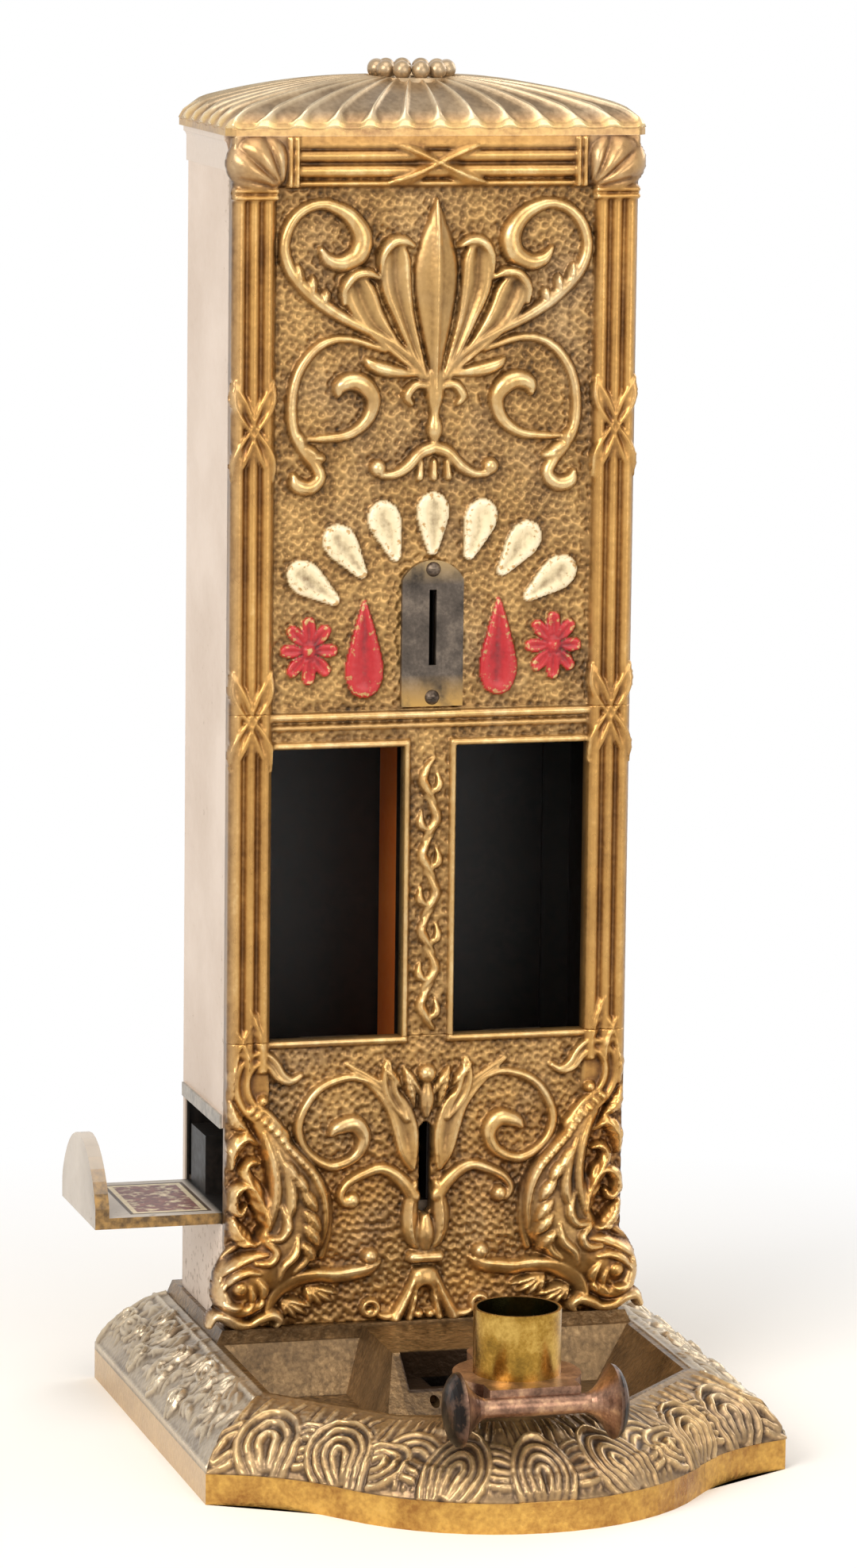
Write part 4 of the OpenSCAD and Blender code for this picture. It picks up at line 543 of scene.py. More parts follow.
def cast_piece(name, verts, faces, material, **layers):
    """New smooth piece of a casting from points in mm, riding on the machine, with its point attributes."""
    mesh = bpy.data.meshes.new(name)
    mesh.from_pydata((np.asarray(verts, float) * MM).tolist(), [], [list(map(int, f)) for f in faces])
    mesh.update()
    for key, values in layers.items():
        mesh.attributes.new(key, "FLOAT", "POINT").data.foreach_set("value", np.asarray(values, np.float32))
    mesh.polygons.foreach_set("use_smooth", np.ones(len(mesh.polygons), bool))
    mesh.materials.append(material)
    obj = linked(name, mesh)
    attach(obj, "machine")
    return obj


def ease_rim(front, back, rim):
    """Takes the grid's steps out of the outline of the feet, where each rim point has two neighbours."""
    loose = np.abs(front[rim[:, 0], 0]) > HALF + 0.2
    mid, after = rim[loose].T
    before = dict(zip(rim[:, 1], rim[:, 0]))
    prior = np.array([before[m] for m in mid], int)
    for _ in range(6):
        eased = (front[prior] + 2 * front[mid] + front[after]) / 4
        for points in (front, back):
            points[mid, 0], points[mid, 2] = eased[:, 0], eased[:, 2]


def relief_slab(name, field, low, high, material):
    """Closed slab of the front casting between two levels: carved face, edges, holes and a flat back."""
    xs, zs, x, z, h, wear, cream, red = field
    rows = np.where((zs >= low - 1e-6) & (zs <= high + 1e-6))[0]
    cut = slice(rows[0], rows[-1] + 1)
    x, z, h, wear, cream, red = (a[:, cut] for a in (x, z, h, wear, cream, red))
    nx, nz = x.shape
    mx = (x[1:, :-1] + x[:-1, :-1]) / 2
    mz = (z[:-1, 1:] + z[:-1, :-1]) / 2
    tall = h[1:, 1:] + h[:-1, 1:] + h[1:, :-1] + h[:-1, :-1]
    ax = np.abs(mx)
    # Past the flat only the high carving of the feet is cast; windows, slit and slot stay open
    solid = (ax < HALF) | (tall > 4 * FOOT_LEAST)
    solid &= ~((ax > MULLION) & (ax < INNER) & (mz > SILL) & (mz < LINTEL))
    end = SLIT_HIGH - SLIT_HALF
    slit = (ax < SLIT_HALF) & (mz > SLIT_LOW + SLIT_HALF) & (mz < end)
    for level in (SLIT_LOW + SLIT_HALF, end):
        slit |= np.hypot(mx, mz - level) < SLIT_HALF
    solid &= ~slit
    solid &= ~((ax < SLOT_HALF) & (mz > SLOT_LOW) & (mz < SLOT_HIGH))
    index = np.arange(nx * nz).reshape(nx, nz)
    i, j = np.where(solid)
    quads = np.stack([index[i, j], index[i + 1, j], index[i + 1, j + 1], index[i, j + 1]], 1)
    front = np.stack([x, FACE - h, z], -1).reshape(-1, 3)
    back = front.copy()
    over = np.abs(front[:, 0]) > HALF + 1e-6
    back[:, 1] = np.where(over, FACE, BACK)
    # Edges with one cell beside them get a wall to the back
    ends = np.concatenate([quads[:, [0, 1]], quads[:, [1, 2]], quads[:, [2, 3]], quads[:, [3, 0]]])
    key = np.sort(ends, 1) @ np.array([nx * nz, 1])
    _, where, count = np.unique(key, return_index=True, return_counts=True)
    rim = ends[where[count == 1]]
    walls = np.stack([rim[:, 1], rim[:, 0], rim[:, 0] + nx * nz, rim[:, 1] + nx * nz], 1)
    rear = quads[:, ::-1] + nx * nz
    ease_rim(front, back, rim)
    verts = np.concatenate([front, back])
    faces = np.concatenate([quads, walls, rear])
    used = np.unique(faces)
    remap = np.zeros(len(verts), int)
    remap[used] = np.arange(len(used))
    tint = lambda a: np.concatenate([a.reshape(-1), a.reshape(-1) * 0])[used]
    piece = cast_piece(name, verts[used], remap[faces], material,
                       wear=tint(wear), cream=tint(cream), red=tint(red))
    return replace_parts(piece, "front_casting")


def skin_slab(name, top, under, material, wear, closed=False):
    """Thin slab from a grid of top points and its underside; closed joins the first and last row."""
    rows, cols = top.shape[:2]
    index = np.arange(rows * cols).reshape(rows, cols)
    if closed:
        index = np.vstack([index, index[:1]])
    a, b, c, d = index[:-1, :-1], index[1:, :-1], index[1:, 1:], index[:-1, 1:]
    quads = np.stack([a, b, c, d], -1).reshape(-1, 4)
    low = quads[:, ::-1] + rows * cols
    rims = [index[:, 0], index[::-1, -1]] + ([] if closed else [index[0, ::-1], index[-1, :]])
    walls = [np.stack([r[1:], r[:-1], r[:-1] + rows * cols, r[1:] + rows * cols], 1) for r in rims]
    verts = np.concatenate([top.reshape(-1, 3), under.reshape(-1, 3)])
    tint = np.concatenate([wear.reshape(-1), wear.reshape(-1)])
    return cast_piece(name, verts, np.concatenate([quads, low] + walls), material, wear=tint)


# Carving of the base's rim

# Base in mm: its box from the frame, then corner, bow, height of the edge and line of the crest
BASE_LOW, BASE_HIGH = box_mm("base_casting")
BASE_HALF, BASE_FRONT, BASE_BACK = BASE_HIGH[0], -BASE_LOW[1], BASE_HIGH[1]
BASE_CORNER, BOW_R, BOW_HALF, EDGE, CREST = 74.5, 58.0, 47.0, 8.0, 23.0
CREST_HALF, CREST_FRONT, CREST_SIDE = 58.0, 92.0, 54.0
CREST_BEND = np.array([30.73, -84.5])
# Rise of the rim's section over its width, as shares
SHARES, RISES = (0, 0.06, 0.2, 0.45, 0.72, 1), (0, 0.2, 0.46, 0.7, 0.88, 1)
# Lift of the carved skin over the plain rim, and depth that it is let in
SKIN_LIFT, SKIN_SUNK = 0.25, 0.8
# Points along each arc or side of the rim
RIM_POINTS = 40
# Ring that the lever's knobs sweep over the rim
LEVER_Y = middle_y("cutter_pivot")
SWEEP_R, SWEEP_HALF, SWEEP_X = 41.5, 5.0, 37.0


def front_lines(n):
    """Outer edge and crest of the rim from the bow's middle to the right corner, in two arcs of n points."""
    t = np.linspace(0, 1, n)[:, None]
    centre = np.array([0, BOW_R - BASE_FRONT])
    bow_y = centre[1] - math.sqrt(BOW_R**2 - BOW_HALF**2)
    turn = -math.pi / 2 + math.asin(BOW_HALF / BOW_R) * t
    bow = centre + BOW_R * np.hstack([np.cos(turn), np.sin(turn)])
    start, corner = np.array([BOW_HALF, bow_y]), np.array([BASE_HALF, -BASE_CORNER])
    normal = (start - centre) / BOW_R
    step = corner - start
    r = step @ step / (2 * step @ normal)
    pivot = start + r * normal
    a0, a1 = (math.atan2(*(p - pivot)[::-1]) for p in (start, corner))
    turn = a0 + (a1 - a0) * t
    hollow_arc = pivot + r * np.hstack([np.cos(turn), np.sin(turn)])
    inner_bow = np.hstack([CREST_BEND[0] * t, -CREST_FRONT + (CREST_FRONT + CREST_BEND[1]) * t**2])
    inner_arc = CREST_BEND + (np.array([CREST_HALF, -CREST_SIDE]) - CREST_BEND) * t
    return np.vstack([bow, hollow_arc[1:]]), np.vstack([inner_bow, inner_arc[1:]])


def side_lines(n):
    """Outer edge and crest of the rim along the right side, from the front corner to the back."""
    y = np.linspace(-BASE_CORNER, BASE_BACK, n)
    inner = np.interp(y, (-BASE_CORNER, 0, BASE_BACK), (-CREST_SIDE, 0, BASE_BACK))
    return np.stack([y * 0 + BASE_HALF, y], 1), np.stack([y * 0 + CREST_HALF, inner], 1)


def spread(line, step):
    """Distances of a line's points from its start, and even distances about a step apart."""
    run = np.concatenate([[0], np.cumsum(np.linalg.norm(np.diff(line, axis=0), axis=1))])
    return run, np.linspace(0, run[-1], int(run[-1] / step) + 1)


def lever_room(points):
    """Share of the relief that leaves room for the lever's knobs, which sweep a ring round the pivot."""
    x, y = points[..., 0], points[..., 1] - LEVER_Y
    ring = np.clip(1 - (np.abs(np.hypot(x, y) - SWEEP_R) - SWEEP_HALF) / 2, 0, 1)
    swing = np.clip((SWEEP_X - np.abs(x)) / 3, 0, 1)
    return 1 - 0.66 * ring * swing


def rim_skin(name, lines, carve, material, mirror):
    """Carved skin over the rim from its edge to its crest; mirror is no, left, or both for the front."""
    outer, inner = lines
    run, s = spread(outer, GRID)
    width = np.linalg.norm(inner - outer, axis=1).mean()
    section = np.stack([np.array(SHARES) * width, np.array(RISES) * (CREST - EDGE)], 1)
    prof, w = spread(section, GRID)
    c = Carving(s, w)
    carve(c, s[-1], w[-1])
    # Uneven by hand: patches worn lower about 5 mm apart, and a sandy skin
    worn = 0.62 + 0.6 * pebbles(c.x, c.z, 5.2, 23)
    h = blur(c.h * worn + 0.25 * pebbles(c.x, c.z, 1.5, 11), 0.6)
    if mirror == "both":
        h, s = np.concatenate([h[:0:-1], h]), np.concatenate([-s[:0:-1], s])
    # Colour level from rubbed ridge to dirty hollow, with painted shade round tall carving
    wear = rubbed(h)
    share = np.interp(w, prof, SHARES)
    rise = EDGE + (CREST - EDGE) * np.interp(w, prof, RISES)
    at = lambda line: np.stack([np.interp(abs(s), run, line[:, k]) for k in (0, 1)], 1)
    o, i = at(outer), at(inner)
    flat = o[:, None] + (i - o)[:, None] * share[None, :, None]
    points = np.dstack([flat, np.broadcast_to(rise, flat.shape[:2])])
    if mirror != "no":
        points[..., 0] *= np.sign(s)[:, None] if mirror == "both" else -1
    du, dw = np.gradient(points, axis=0), np.gradient(points, axis=1)
    out = np.cross(du, dw)
    out /= np.linalg.norm(out, axis=2)[..., None]
    out *= np.sign(out[..., 2:].sum())
    if mirror == "both":
        h = h * lever_room(points)
    top, under = points + out * (SKIN_LIFT + h[..., None]), points - SKIN_SUNK * out
    # Nothing stands out past the base's own edge
    top[..., 0] = np.clip(top[..., 0], -BASE_HALF, BASE_HALF)
    top[..., 1] = np.clip(top[..., 1], -BASE_FRONT, BASE_BACK)
    if np.cross(du, dw)[..., 2].sum() < 0:
        top, under, wear = top[::-1], under[::-1], wear[::-1]
    skin_slab(name, top, under, material, wear)


def shell(c, s, w, reach, turn, arcs, tall=1.5):
    """Plume of nested arcs whose legs draw in below, turned in degrees, over ground cleared for it."""
    cos, sin = math.cos(math.radians(turn)), math.sin(math.radians(turn))
    ds, dw = c.x - s, c.z - w
    across, up = ds * cos - dw * sin, ds * sin + dw * cos
    legs = np.where(up > 0, up, 0.9 * up)
    c.h[(across / (reach + 0.6)) ** 2 + (legs / (tall * reach + 0.6)) ** 2 < 1] = 0
    for k in range(arcs):
        r = reach * (k + 0.8) / arcs
        line = []
        for a in np.radians(np.linspace(-150, 150, 11)):
            low = max(0, -math.cos(a))
            across = r * math.sin(a) * (1 - 0.25 * low)
            up = tall * math.cos(a) * (r + (0.55 * reach - 0.3 * r) * low)
            swell = math.cos(a / 1.9)
            line.append((s + across * cos + up * sin, w - across * sin + up * cos,
                         0.46 * reach / arcs, 0.9 + 1.3 * swell))
        c.sweep(line)


def border(c, length, width, near, far):
    """Raised lines inside the strip's edges, at distances from its outer edge and its crest."""
    for edge in (near, width - far):
        c.band(c.z, edge, 0.9, 0.9, c.z > -1)
    c.band(c.x, length - 1.6, 1.1, 0.9, c.z > -1)


def carve_rocaille(c, length, width):
    """Flames that sway from the edge to the crest, and over them uneven shells of nested arcs."""
    for s in np.arange(0, length, 2.5):
        sway = 3.4 * math.sin(0.29 * s)
        c.sweep([(s, 2.4, 0.6, 0.7), (s + 0.4 * sway, 0.45 * width, 1.25, 1.6),
                 (s + sway, width - 2.6, 0.5, 0.8)])
    # Lying shells first, then the upright ones that lap over them
    for spot in (
        (12, 10, 6.6, 70, 3), (36, 12, 7.6, 58, 3), (47, 8, 6.6, -62, 3), (71, 10, 7.2, -66, 3),
        (89, 8, 5.6, -36, 2), (0, 7, 8.8, 0, 4), (24, 8, 9.0, -22, 4), (59, 8, 9.2, 24, 4),
        (80, 9, 8.2, 16, 3),
    ):
        shell(c, *spot)


def carve_leaves(c, length, width):
    """Ragged leaves and small shells thrown about, inside a raised border."""
    rng = np.random.default_rng(5)
    for s in np.arange(8, length - 6, 4.4):
        w = rng.uniform(5, 8)
        while w < width - 8:
            turn, long = rng.uniform(-70, 70), rng.uniform(6.5, 10.5)
            if rng.random() < 0.22:
                shell(c, s, w + 2, 3.4, turn, 2, 1.2)
            else:
                half, tall, bend = rng.uniform(1.2, 2.0), rng.uniform(1.0, 1.6), rng.uniform(-0.4, 0.4)
                c.sweep(leaf(s, w, turn, long, half, tall, bend), leafy)
            w += rng.uniform(3.4, 5)
    border(c, length, width, 1.4, 3.4)


# Fluted skin of the roof

ROOF_LOW, ROOF_HIGH = box_mm("roof_casting")
ROOF_HALF, ROOF_FRONT, ROOF_REAR = ROOF_HIGH[0], ROOF_LOW[1], ROOF_HIGH[1]
ROOF_RISE, EAVE = 9.2, 4.9
# Flutes on the four sides from the front, their pitch in mm at the eave, and points across each
FLUTES, PITCH, PER_FLUTE = (12, 6, 12, 6), 9.4, 16


def roof_skin(material):
    """Flutes that fan from the crown to the rolled eave, parted by ribs that end in splayed feet."""
    cy, hy = (ROOF_FRONT + ROOF_REAR) / 2, (ROOF_REAR - ROOF_FRONT) / 2
    half = ROOF_HALF
    corners = [(-half, -hy), (half, -hy), (half, hy), (-half, hy), (-half, -hy)]
    edge, phase, pull = [], [], []
    for (x0, y0), (x1, y1), n in zip(corners, corners[1:], FLUTES):
        for k in range(n * PER_FLUTE):
            t = k / (n * PER_FLUTE)
            edge.append((x0 + (x1 - x0) * t, y0 + (y1 - y0) * t))
            phase.append(k / PER_FLUTE % 1)
            pull.append(1 - 0.025 * max(0, 1 - min(k, n * PER_FLUTE - k) * 4 / PER_FLUTE))
    edge = np.array(edge) * np.array(pull)[:, None]
    f = np.array(phase)[:, None]
    # Shares of the way from the crown to the eave, closer together over the roll
    r = np.concatenate([np.linspace(0.2, 0.93, 40), np.linspace(0.94, 1, 14)])[None]
    # How far the roll has turned down, and how deep the flutes are, at those shares
    fall = np.interp(r, (0.9, 0.93, 0.985, 1), (0, 0.06, 0.3, 0.62))
    deep = np.interp(r, (0.2, 0.45, 0.72, 0.93, 0.985, 1), (0, 0.4, 0.75, 1, 0.9, 0.3))
    off = np.minimum(f, 1 - f) * PITCH * r
    foot = np.clip((r - 0.93) / 0.06, 0, 1)
    rib = (0.4 + 0.8 * r) * np.exp(-((off / (0.4 + 0.16 * r + 1.3 * foot)) ** 2))
    rib -= 0.55 * foot * np.exp(-((off / 0.7) ** 2))
    flute = -0.7 * deep * np.clip(3.2 * np.minimum(f, 1 - f), 0, 1) ** 0.6
    scallop = 0.7 * foot * np.clip(1 - np.abs(off / (PITCH * r) - 0.5) / 0.2, 0, 1) * (1 - fall)
    h = rib + flute + 0.25 * scallop
    z = TOP + EAVE * (1 - fall) + ROOF_RISE * (1 - r**2.2) + 0.15 + h
    out = 1.002 + 0.006 * foot * rib
    x, y = edge[:, :1] * r * out, cy + edge[:, 1:] * r * out
    top = np.stack([x, y, z], -1)
    under = np.stack([edge[:, :1] * r * 0.985, cy + edge[:, 1:] * r * 0.985, z - h - 0.9], -1)
    # Lighter on the ribs and their feet, darker down the flutes: rubbed ribs and painted shade
    wear = np.clip(1.5 * rib - 0.45 + 0.4 * foot, -1, 1)
    skin_slab("roof_fluted_skin", top, under, material, wear, closed=True)


# Materials

def colour(code):
    """Linear colour of an sRGB hex code."""
    channels = [int(code[i : i + 2], 16) / 255 for i in (1, 3, 5)]
    return tuple(c / 12.92 if c <= 0.04045 else ((c + 0.055) / 1.055) ** 2.4 for c in channels) + (1.0,)


def add(tree, kind, inputs=(), out=0, stops=(), **settings):
    """Shader node with its settings, inputs as values or sockets, and a ramp's stops; gives an output."""
    n = tree.nodes.new("ShaderNode" + kind)
    for k, v in settings.items():
        setattr(n, k, v)
    for k, v in dict(inputs).items():
        if isinstance(v, bpy.types.NodeSocket):
            tree.links.new(v, n.inputs[k])
        else:
            n.inputs[k].default_value = v
    if stops:
        band = n.color_ramp.elements
        for _ in stops[2:]:
            band.new(0.5)
        for stop, (at, code) in zip(band, stops):
            stop.position = at
            stop.color = colour(code)
    return n.outputs[out] if n.outputs else None


def new_material(name):
    m = bpy.data.materials.new(name)
    m.use_nodes = True
    m.node_tree.nodes.clear()
    return m, m.node_tree


def grain(tree, size_mm, detail=4.0, rough=0.55, drawn=1.0):
    """Cloudy pattern whose blotches are about size_mm across, drawn out upright by a factor."""
    spot = add(tree, "TexCoord", out="Object")
    if drawn != 1:
        spot = add(tree, "VectorMath", {0: spot, 1: (1, 1, 1 / drawn)}, operation="MULTIPLY")
    pattern = {"Vector": spot, "Scale": 1 / MM / size_mm, "Detail": detail, "Roughness": rough}
    return add(tree, "TexNoise", pattern, "Fac")


def sums(tree, *terms):
    """Weighted sum: a term is a socket and its weight, a bare socket or a constant."""
    total = 0.0
    for term in terms:
        value, weight = term if isinstance(term, tuple) else (term, 1.0)
        total = add(tree, "Math", {0: value, 1: weight, 2: total}, operation="MULTIPLY_ADD")
    return total


def overlap(tree, *masks):
    """Where all the masks hold; a number among them thins the rest."""
    total = masks[0]
    for mask in masks[1:]:
        total = add(tree, "Math", {0: total, 1: mask}, operation="MULTIPLY")
    return total


def coats(tree, base, *layers):
    """Base colour under layers laid on in turn, each a mask and its colour."""
    for mask, paint in layers:
        base = add(tree, "Mix", {0: mask, 6: base, 7: paint}, 2, data_type="RGBA")
    return base


def place(tree, axis, low, high):
    """0 to 1 along an axis of the frame, between two places in mm."""
    spot = add(tree, "SeparateXYZ", {0: add(tree, "TexCoord", out="Object")}, axis)
    return add(tree, "MapRange", {0: spot, 1: low * MM, 2: high * MM})


def facing(tree, axis, low, high):
    """0 to 1 as a face turns toward an axis of the frame, between two cosines."""
    lean = add(tree, "SeparateXYZ", {0: add(tree, "TexCoord", out="Normal")}, axis)
    return add(tree, "MapRange", {0: lean, 1: low, 2: high})


def within(tree, soft=0.3, **ranges):
    """1 inside a box of the frame given in mm as X, Y or Z ranges, with a soft edge."""
    sides = []
    for axis, (low, high) in ranges.items():
        sides += [place(tree, axis, low - soft, low), place(tree, axis, high + soft, high)]
    return overlap(tree, *sides)


def inside_tube(tree, y, near, far):
    """0 to 1 with the distance from an upright axis in the middle plane, between two distances in mm."""
    spot = add(tree, "TexCoord", out="Object")
    level = add(tree, "VectorMath", {0: spot, 1: (1, 1, 0)}, operation="MULTIPLY")
    away = add(tree, "VectorMath", {0: level, 1: (0, y * MM, 0)}, "Value", operation="DISTANCE")
    return add(tree, "MapRange", {0: away, 1: near * MM, 2: far * MM})


def surface(tree, base, metallic, roughness, height=None, bump_mm=0.1, more=()):
    """Principled surface joined to the output, with a bump where a height is given."""
    links = {"Base Color": base, "Metallic": metallic, "Roughness": roughness, **dict(more)}
    if height is not None:
        links["Normal"] = add(tree, "Bump", {"Height": height, "Distance": bump_mm * MM, "Strength": 1.0})
    add(tree, "OutputMaterial", {"Surface": add(tree, "BsdfPrincipled", links)})


CREAM_ENAMEL = ((0.3, "#7d6543"), (0.5, "#dccaa2"), (0.85, "#f2e6cb"))
RED_ENAMEL = ((0.3, "#5f0a10"), (0.5, "#a8131b"), (0.9, "#c63a38"))


def bronze_painted_iron(name, stops, worn, amber, share=0.5, zones=(), speckle=0.0, streak=0.0):
    """Cast iron brushed with bronze paint: bright rubbed ridges, hollows brown with dirt and painted shade,
    grey clouds, warm shellac.

    The stops run from hollow to ridge. A zone is another set of stops and a function for its place.
    """
    m, t = new_material(name)
    # The first attribute carries rubbed ridges and dirty hollows, with painted shade round the carving
    wear, red, cream = (add(t, "Attribute", out="Fac", attribute_name=n) for n in ("wear", "red", "cream"))
    # Clouds of paint, the grit of the sand mould drawn coarse enough to show, and brush strokes
    blotch, speck = grain(t, 14.0), grain(t, 1.5, 6.0)
    brushed = grain(t, 3.6, 3.0, drawn=9.0)
    level = sums(t, (wear, 0.32), (blotch, 0.4), (speck, 0.28), (brushed, streak), 0.14 - streak / 2)
    spotted = sums(t, level, (speck, speckle), -speckle / 2)
    # Shellac has gone amber low on the front, and clouds of paint have worn grey
    shellac = add(t, "MapRange", {0: grain(t, 30.0, 2.0), 1: 0.36, 2: 0.62})
    grey = add(t, "MapRange", {0: grain(t, 24.0, 3.0), 1: 0.48, 2: 0.7})
    cover = add(t, "MapRange", {0: sums(t, (speck, 1.0), (wear, -0.25)), 1: 0.24, 2: 0.34})
    layers = [
        (overlap(t, place(t, "Z", 118, 60), shellac, 0.62), amber),
        (overlap(t, grey, share), worn),
        *((where(t), tint) for tint, where in zones),
        (overlap(t, cream, cover), CREAM_ENAMEL),
        (overlap(t, red, cover), RED_ENAMEL),
    ]
    base = coats(t, add(t, "ValToRGB", {"Fac": spotted}, stops=stops),
                 *((mask, add(t, "ValToRGB", {"Fac": level}, stops=tint)) for mask, tint in layers))
    # Enamel is hardly metallic, and rubbed ridges shine more
    enamel = add(t, "Math", {0: cream, 1: red}, operation="MAXIMUM")
    shine = sums(t, (blotch, 0.24), (wear, -0.08), 0.2)
    surface(t, base, sums(t, (enamel, -0.62), 0.66), shine, speck, 0.05 + 0.15 * speckle)
    return m


def painted_sheet(name, light, shade, stain, zones=()):
    """Sheet metal under old oil paint: soft clouds, half dull, with small rust stains low down and in front.

    A zone is a dark and a pale tint and a function for its place.
    """
    m, t = new_material(name)
    # Clouds of faded paint, and flecks of rust drawn coarse enough to show
    cloud, fleck = grain(t, 40.0, 3.0), grain(t, 2.2, 5.0)
    low, front = place(t, "Z", 66, 40), place(t, "Y", 12, 4)
    rust = sums(t, (fleck, 0.75), (cloud, -0.25), (low, 0.11), (front, 0.08), 0.1)
    rusty = overlap(t, add(t, "MapRange", {0: rust, 1: 0.5, 2: 0.58}), 0.6)
    paint = add(t, "ValToRGB", {"Fac": cloud}, stops=((0.35, shade), (0.62, light)))
    base = coats(t, paint, (rusty, colour(stain)),
                 *((where(t), add(t, "ValToRGB", {"Fac": fleck}, stops=((0.35, dark), (0.65, pale))))
                   for dark, pale, where in zones))
    surface(t, base, 0.1, sums(t, (fleck, 0.3), 0.32), fleck, 0.05)
    return m


def worn_metal(name, dark, mid, light, metallic, rough, blotch_mm=9.0, zones=()):
    """Bare or plated metal, tarnished in clouds; a zone is a second tint and a function for its place."""
    m, t = new_material(name)
    # Tarnish, and polishing grit drawn coarse enough to show
    cloud, fine = grain(t, blotch_mm, 4.0), grain(t, 0.9, 2.0)
    tarnish = sums(t, (cloud, 0.8), (fine, 0.25))
    patchy = add(t, "MapRange", {0: cloud, 1: 0.25, 2: 0.5})
    bare = add(t, "ValToRGB", {"Fac": tarnish}, stops=((0.32, dark), (0.52, mid), (0.72, light)))
    base = coats(t, bare, *((overlap(t, where(t), patchy), colour(tint)) for tint, where in zones))
    surface(t, base, metallic, sums(t, (cloud, 0.3), rough - 0.15), fine, 0.03)
    return m


def old_glass(name):
    """Drawn window glass, nearly black in clouds as painted shade of the dark body behind it, with a thin
    shine and a dim view of the magazine.
    """
    m, t = new_material(name)
    soot_and_shade = grain(t, 18.0, 3.0)
    black = add(t, "ValToRGB", {"Fac": soot_and_shade}, stops=((0.35, "#060504"), (0.7, "#0d0a08")))
    thin = {"Alpha": sums(t, (soot_and_shade, 0.12), 0.03), "Specular IOR Level": 0.06}
    surface(t, black, 0.0, 0.06, more=thin)
    return m


# Bronze paints from hollow to ridge
GOLD = ((0.1, "#33220f"), (0.3, "#79582f"), (0.5, "#aa8550"), (0.7, "#c29b61"), (0.95, "#ead09a"))
AMBER = ((0.1, "#2b1808"), (0.3, "#6e451c"), (0.5, "#a77738"), (0.7, "#c4934c"), (0.95, "#ebc584"))
ASHEN = ((0.1, "#2c231a"), (0.3, "#5f5040"), (0.5, "#8d7860"), (0.7, "#b09a7c"), (0.95, "#dccbb0"))
DULL = ((0.1, "#281c12"), (0.3, "#66503a"), (0.5, "#9a7d57"), (0.7, "#bd9c6c"), (0.95, "#e6cc98"))
PALE = ((0.1, "#3a3025"), (0.3, "#7d6d5a"), (0.5, "#b3a28a"), (0.7, "#c9b89d"), (0.95, "#e6dac4"))
BROWN = ((0.1, "#1d130a"), (0.3, "#4b3720"), (0.5, "#775c3b"), (0.7, "#9a7c54"), (0.95, "#c0a277"))
STRAW = ((0.1, "#463727"), (0.3, "#826c50"), (0.5, "#ae9676"), (0.7, "#cab391"), (0.95, "#ecdcbe"))
EDGE_GOLD = ((0.1, "#4f2c0e"), (0.38, "#9a6a30"), (0.55, "#d6a854"), (0.95, "#efce86"))
# Pale sheen painted on the base's left-facing edge
EDGE_SHEEN = ((0.1, "#7d6445"), (0.35, "#b79872"), (0.55, "#d2b68e"), (0.95, "#e8d6b8"))
SANDY = ((0.3, "#5a452a"), (0.5, "#8f7350"), (0.7, "#b3946a"))
# Ash of the base, painted shade down the pocket's hole, cream of the cornice, and painted shade inside the
# body
CHAR = ((0.1, "#120c07"), (0.95, "#4d3825"))
POCKET_SHADE = ((0.1, "#040302"), (0.95, "#1a120b"))
CREAM = ((0.1, "#b59f8a"), (0.4, "#d8c4b0"), (0.9, "#ecdccd"))
INSIDE_SHADE = ("#080604", "#1e1610")
# Level just over the base's upright edge
EDGE_TOP = EDGE + 0.4
# Worn label on the tray in mm: its middle, and its half widths from the frame inward
LABEL_X, LABEL_Y = -68.0, 27.25
LABEL = ((11, 17.75), (10, 16.75), (8.6, 15.25))


def pilasters(t):
    """The pilasters, and more thinly the top rail."""
    sides = ((place(t, "X", e * 43, e * 44.4), 0.7) for e in (-1, 1))
    return sums(t, *sides, (place(t, "Z", 330, 332), 0.5))


def outer_edges(t):
    """The outer edges of the casting, more at the left."""
    return sums(t, (place(t, "X", -52, -55.4), 0.5), (place(t, "X", 53, 55.4), 0.3))


def worn_corners(t):
    """The corner shells at the ends of the top rail."""
    ends = ((place(t, "X", e * 40, e * 42), 0.45) for e in (-1, 1))
    return overlap(t, place(t, "Z", 330, 332), sums(t, *ends))


def base_edge(t, axis, low, high):
    """The upright edge under the base's rim, as its faces turn between two cosines of an axis."""
    return overlap(t, place(t, "Z", EDGE_TOP, EDGE), facing(t, axis, low, high))


def label(t, ring):
    """One of the label's rectangles on top of the tray."""
    half_x, half_y = LABEL[ring]
    spot = within(t, X=(LABEL_X - half_x, LABEL_X + half_x), Y=(LABEL_Y - half_y, LABEL_Y + half_y))
    return overlap(t, spot, facing(t, "Z", 0.6, 0.9))


def label_paint(t):
    """The middle of the label, where its paint is left."""
    left = add(t, "MapRange", {0: grain(t, 3.4, 5.0), 1: 0.36, 2: 0.5})
    return overlap(t, label(t, 2), left)


# Cast iron in warm bronze paint: gold on the ridges, brown in the hammered ground, redder on the pilasters
GILT = bronze_painted_iron(
    "bronze_painted_cast_iron", GOLD, ASHEN, AMBER, 0.35,
    ((AMBER, pilasters), (ASHEN, outer_edges), (ASHEN, worn_corners)), streak=0.36,
)
# The base's front rim, rubbed by hands: dull brown gold with bright cords
RIM_GILT = bronze_painted_iron("rubbed_bronze_base_iron", DULL, ASHEN, DULL, 0.7)
# The base's side rims in pale grey gold: painted sheen of the light from the left on the bronze paint
SIDE_GILT = bronze_painted_iron("pale_sheen_base_iron", PALE, ASHEN, PALE, 0.5)
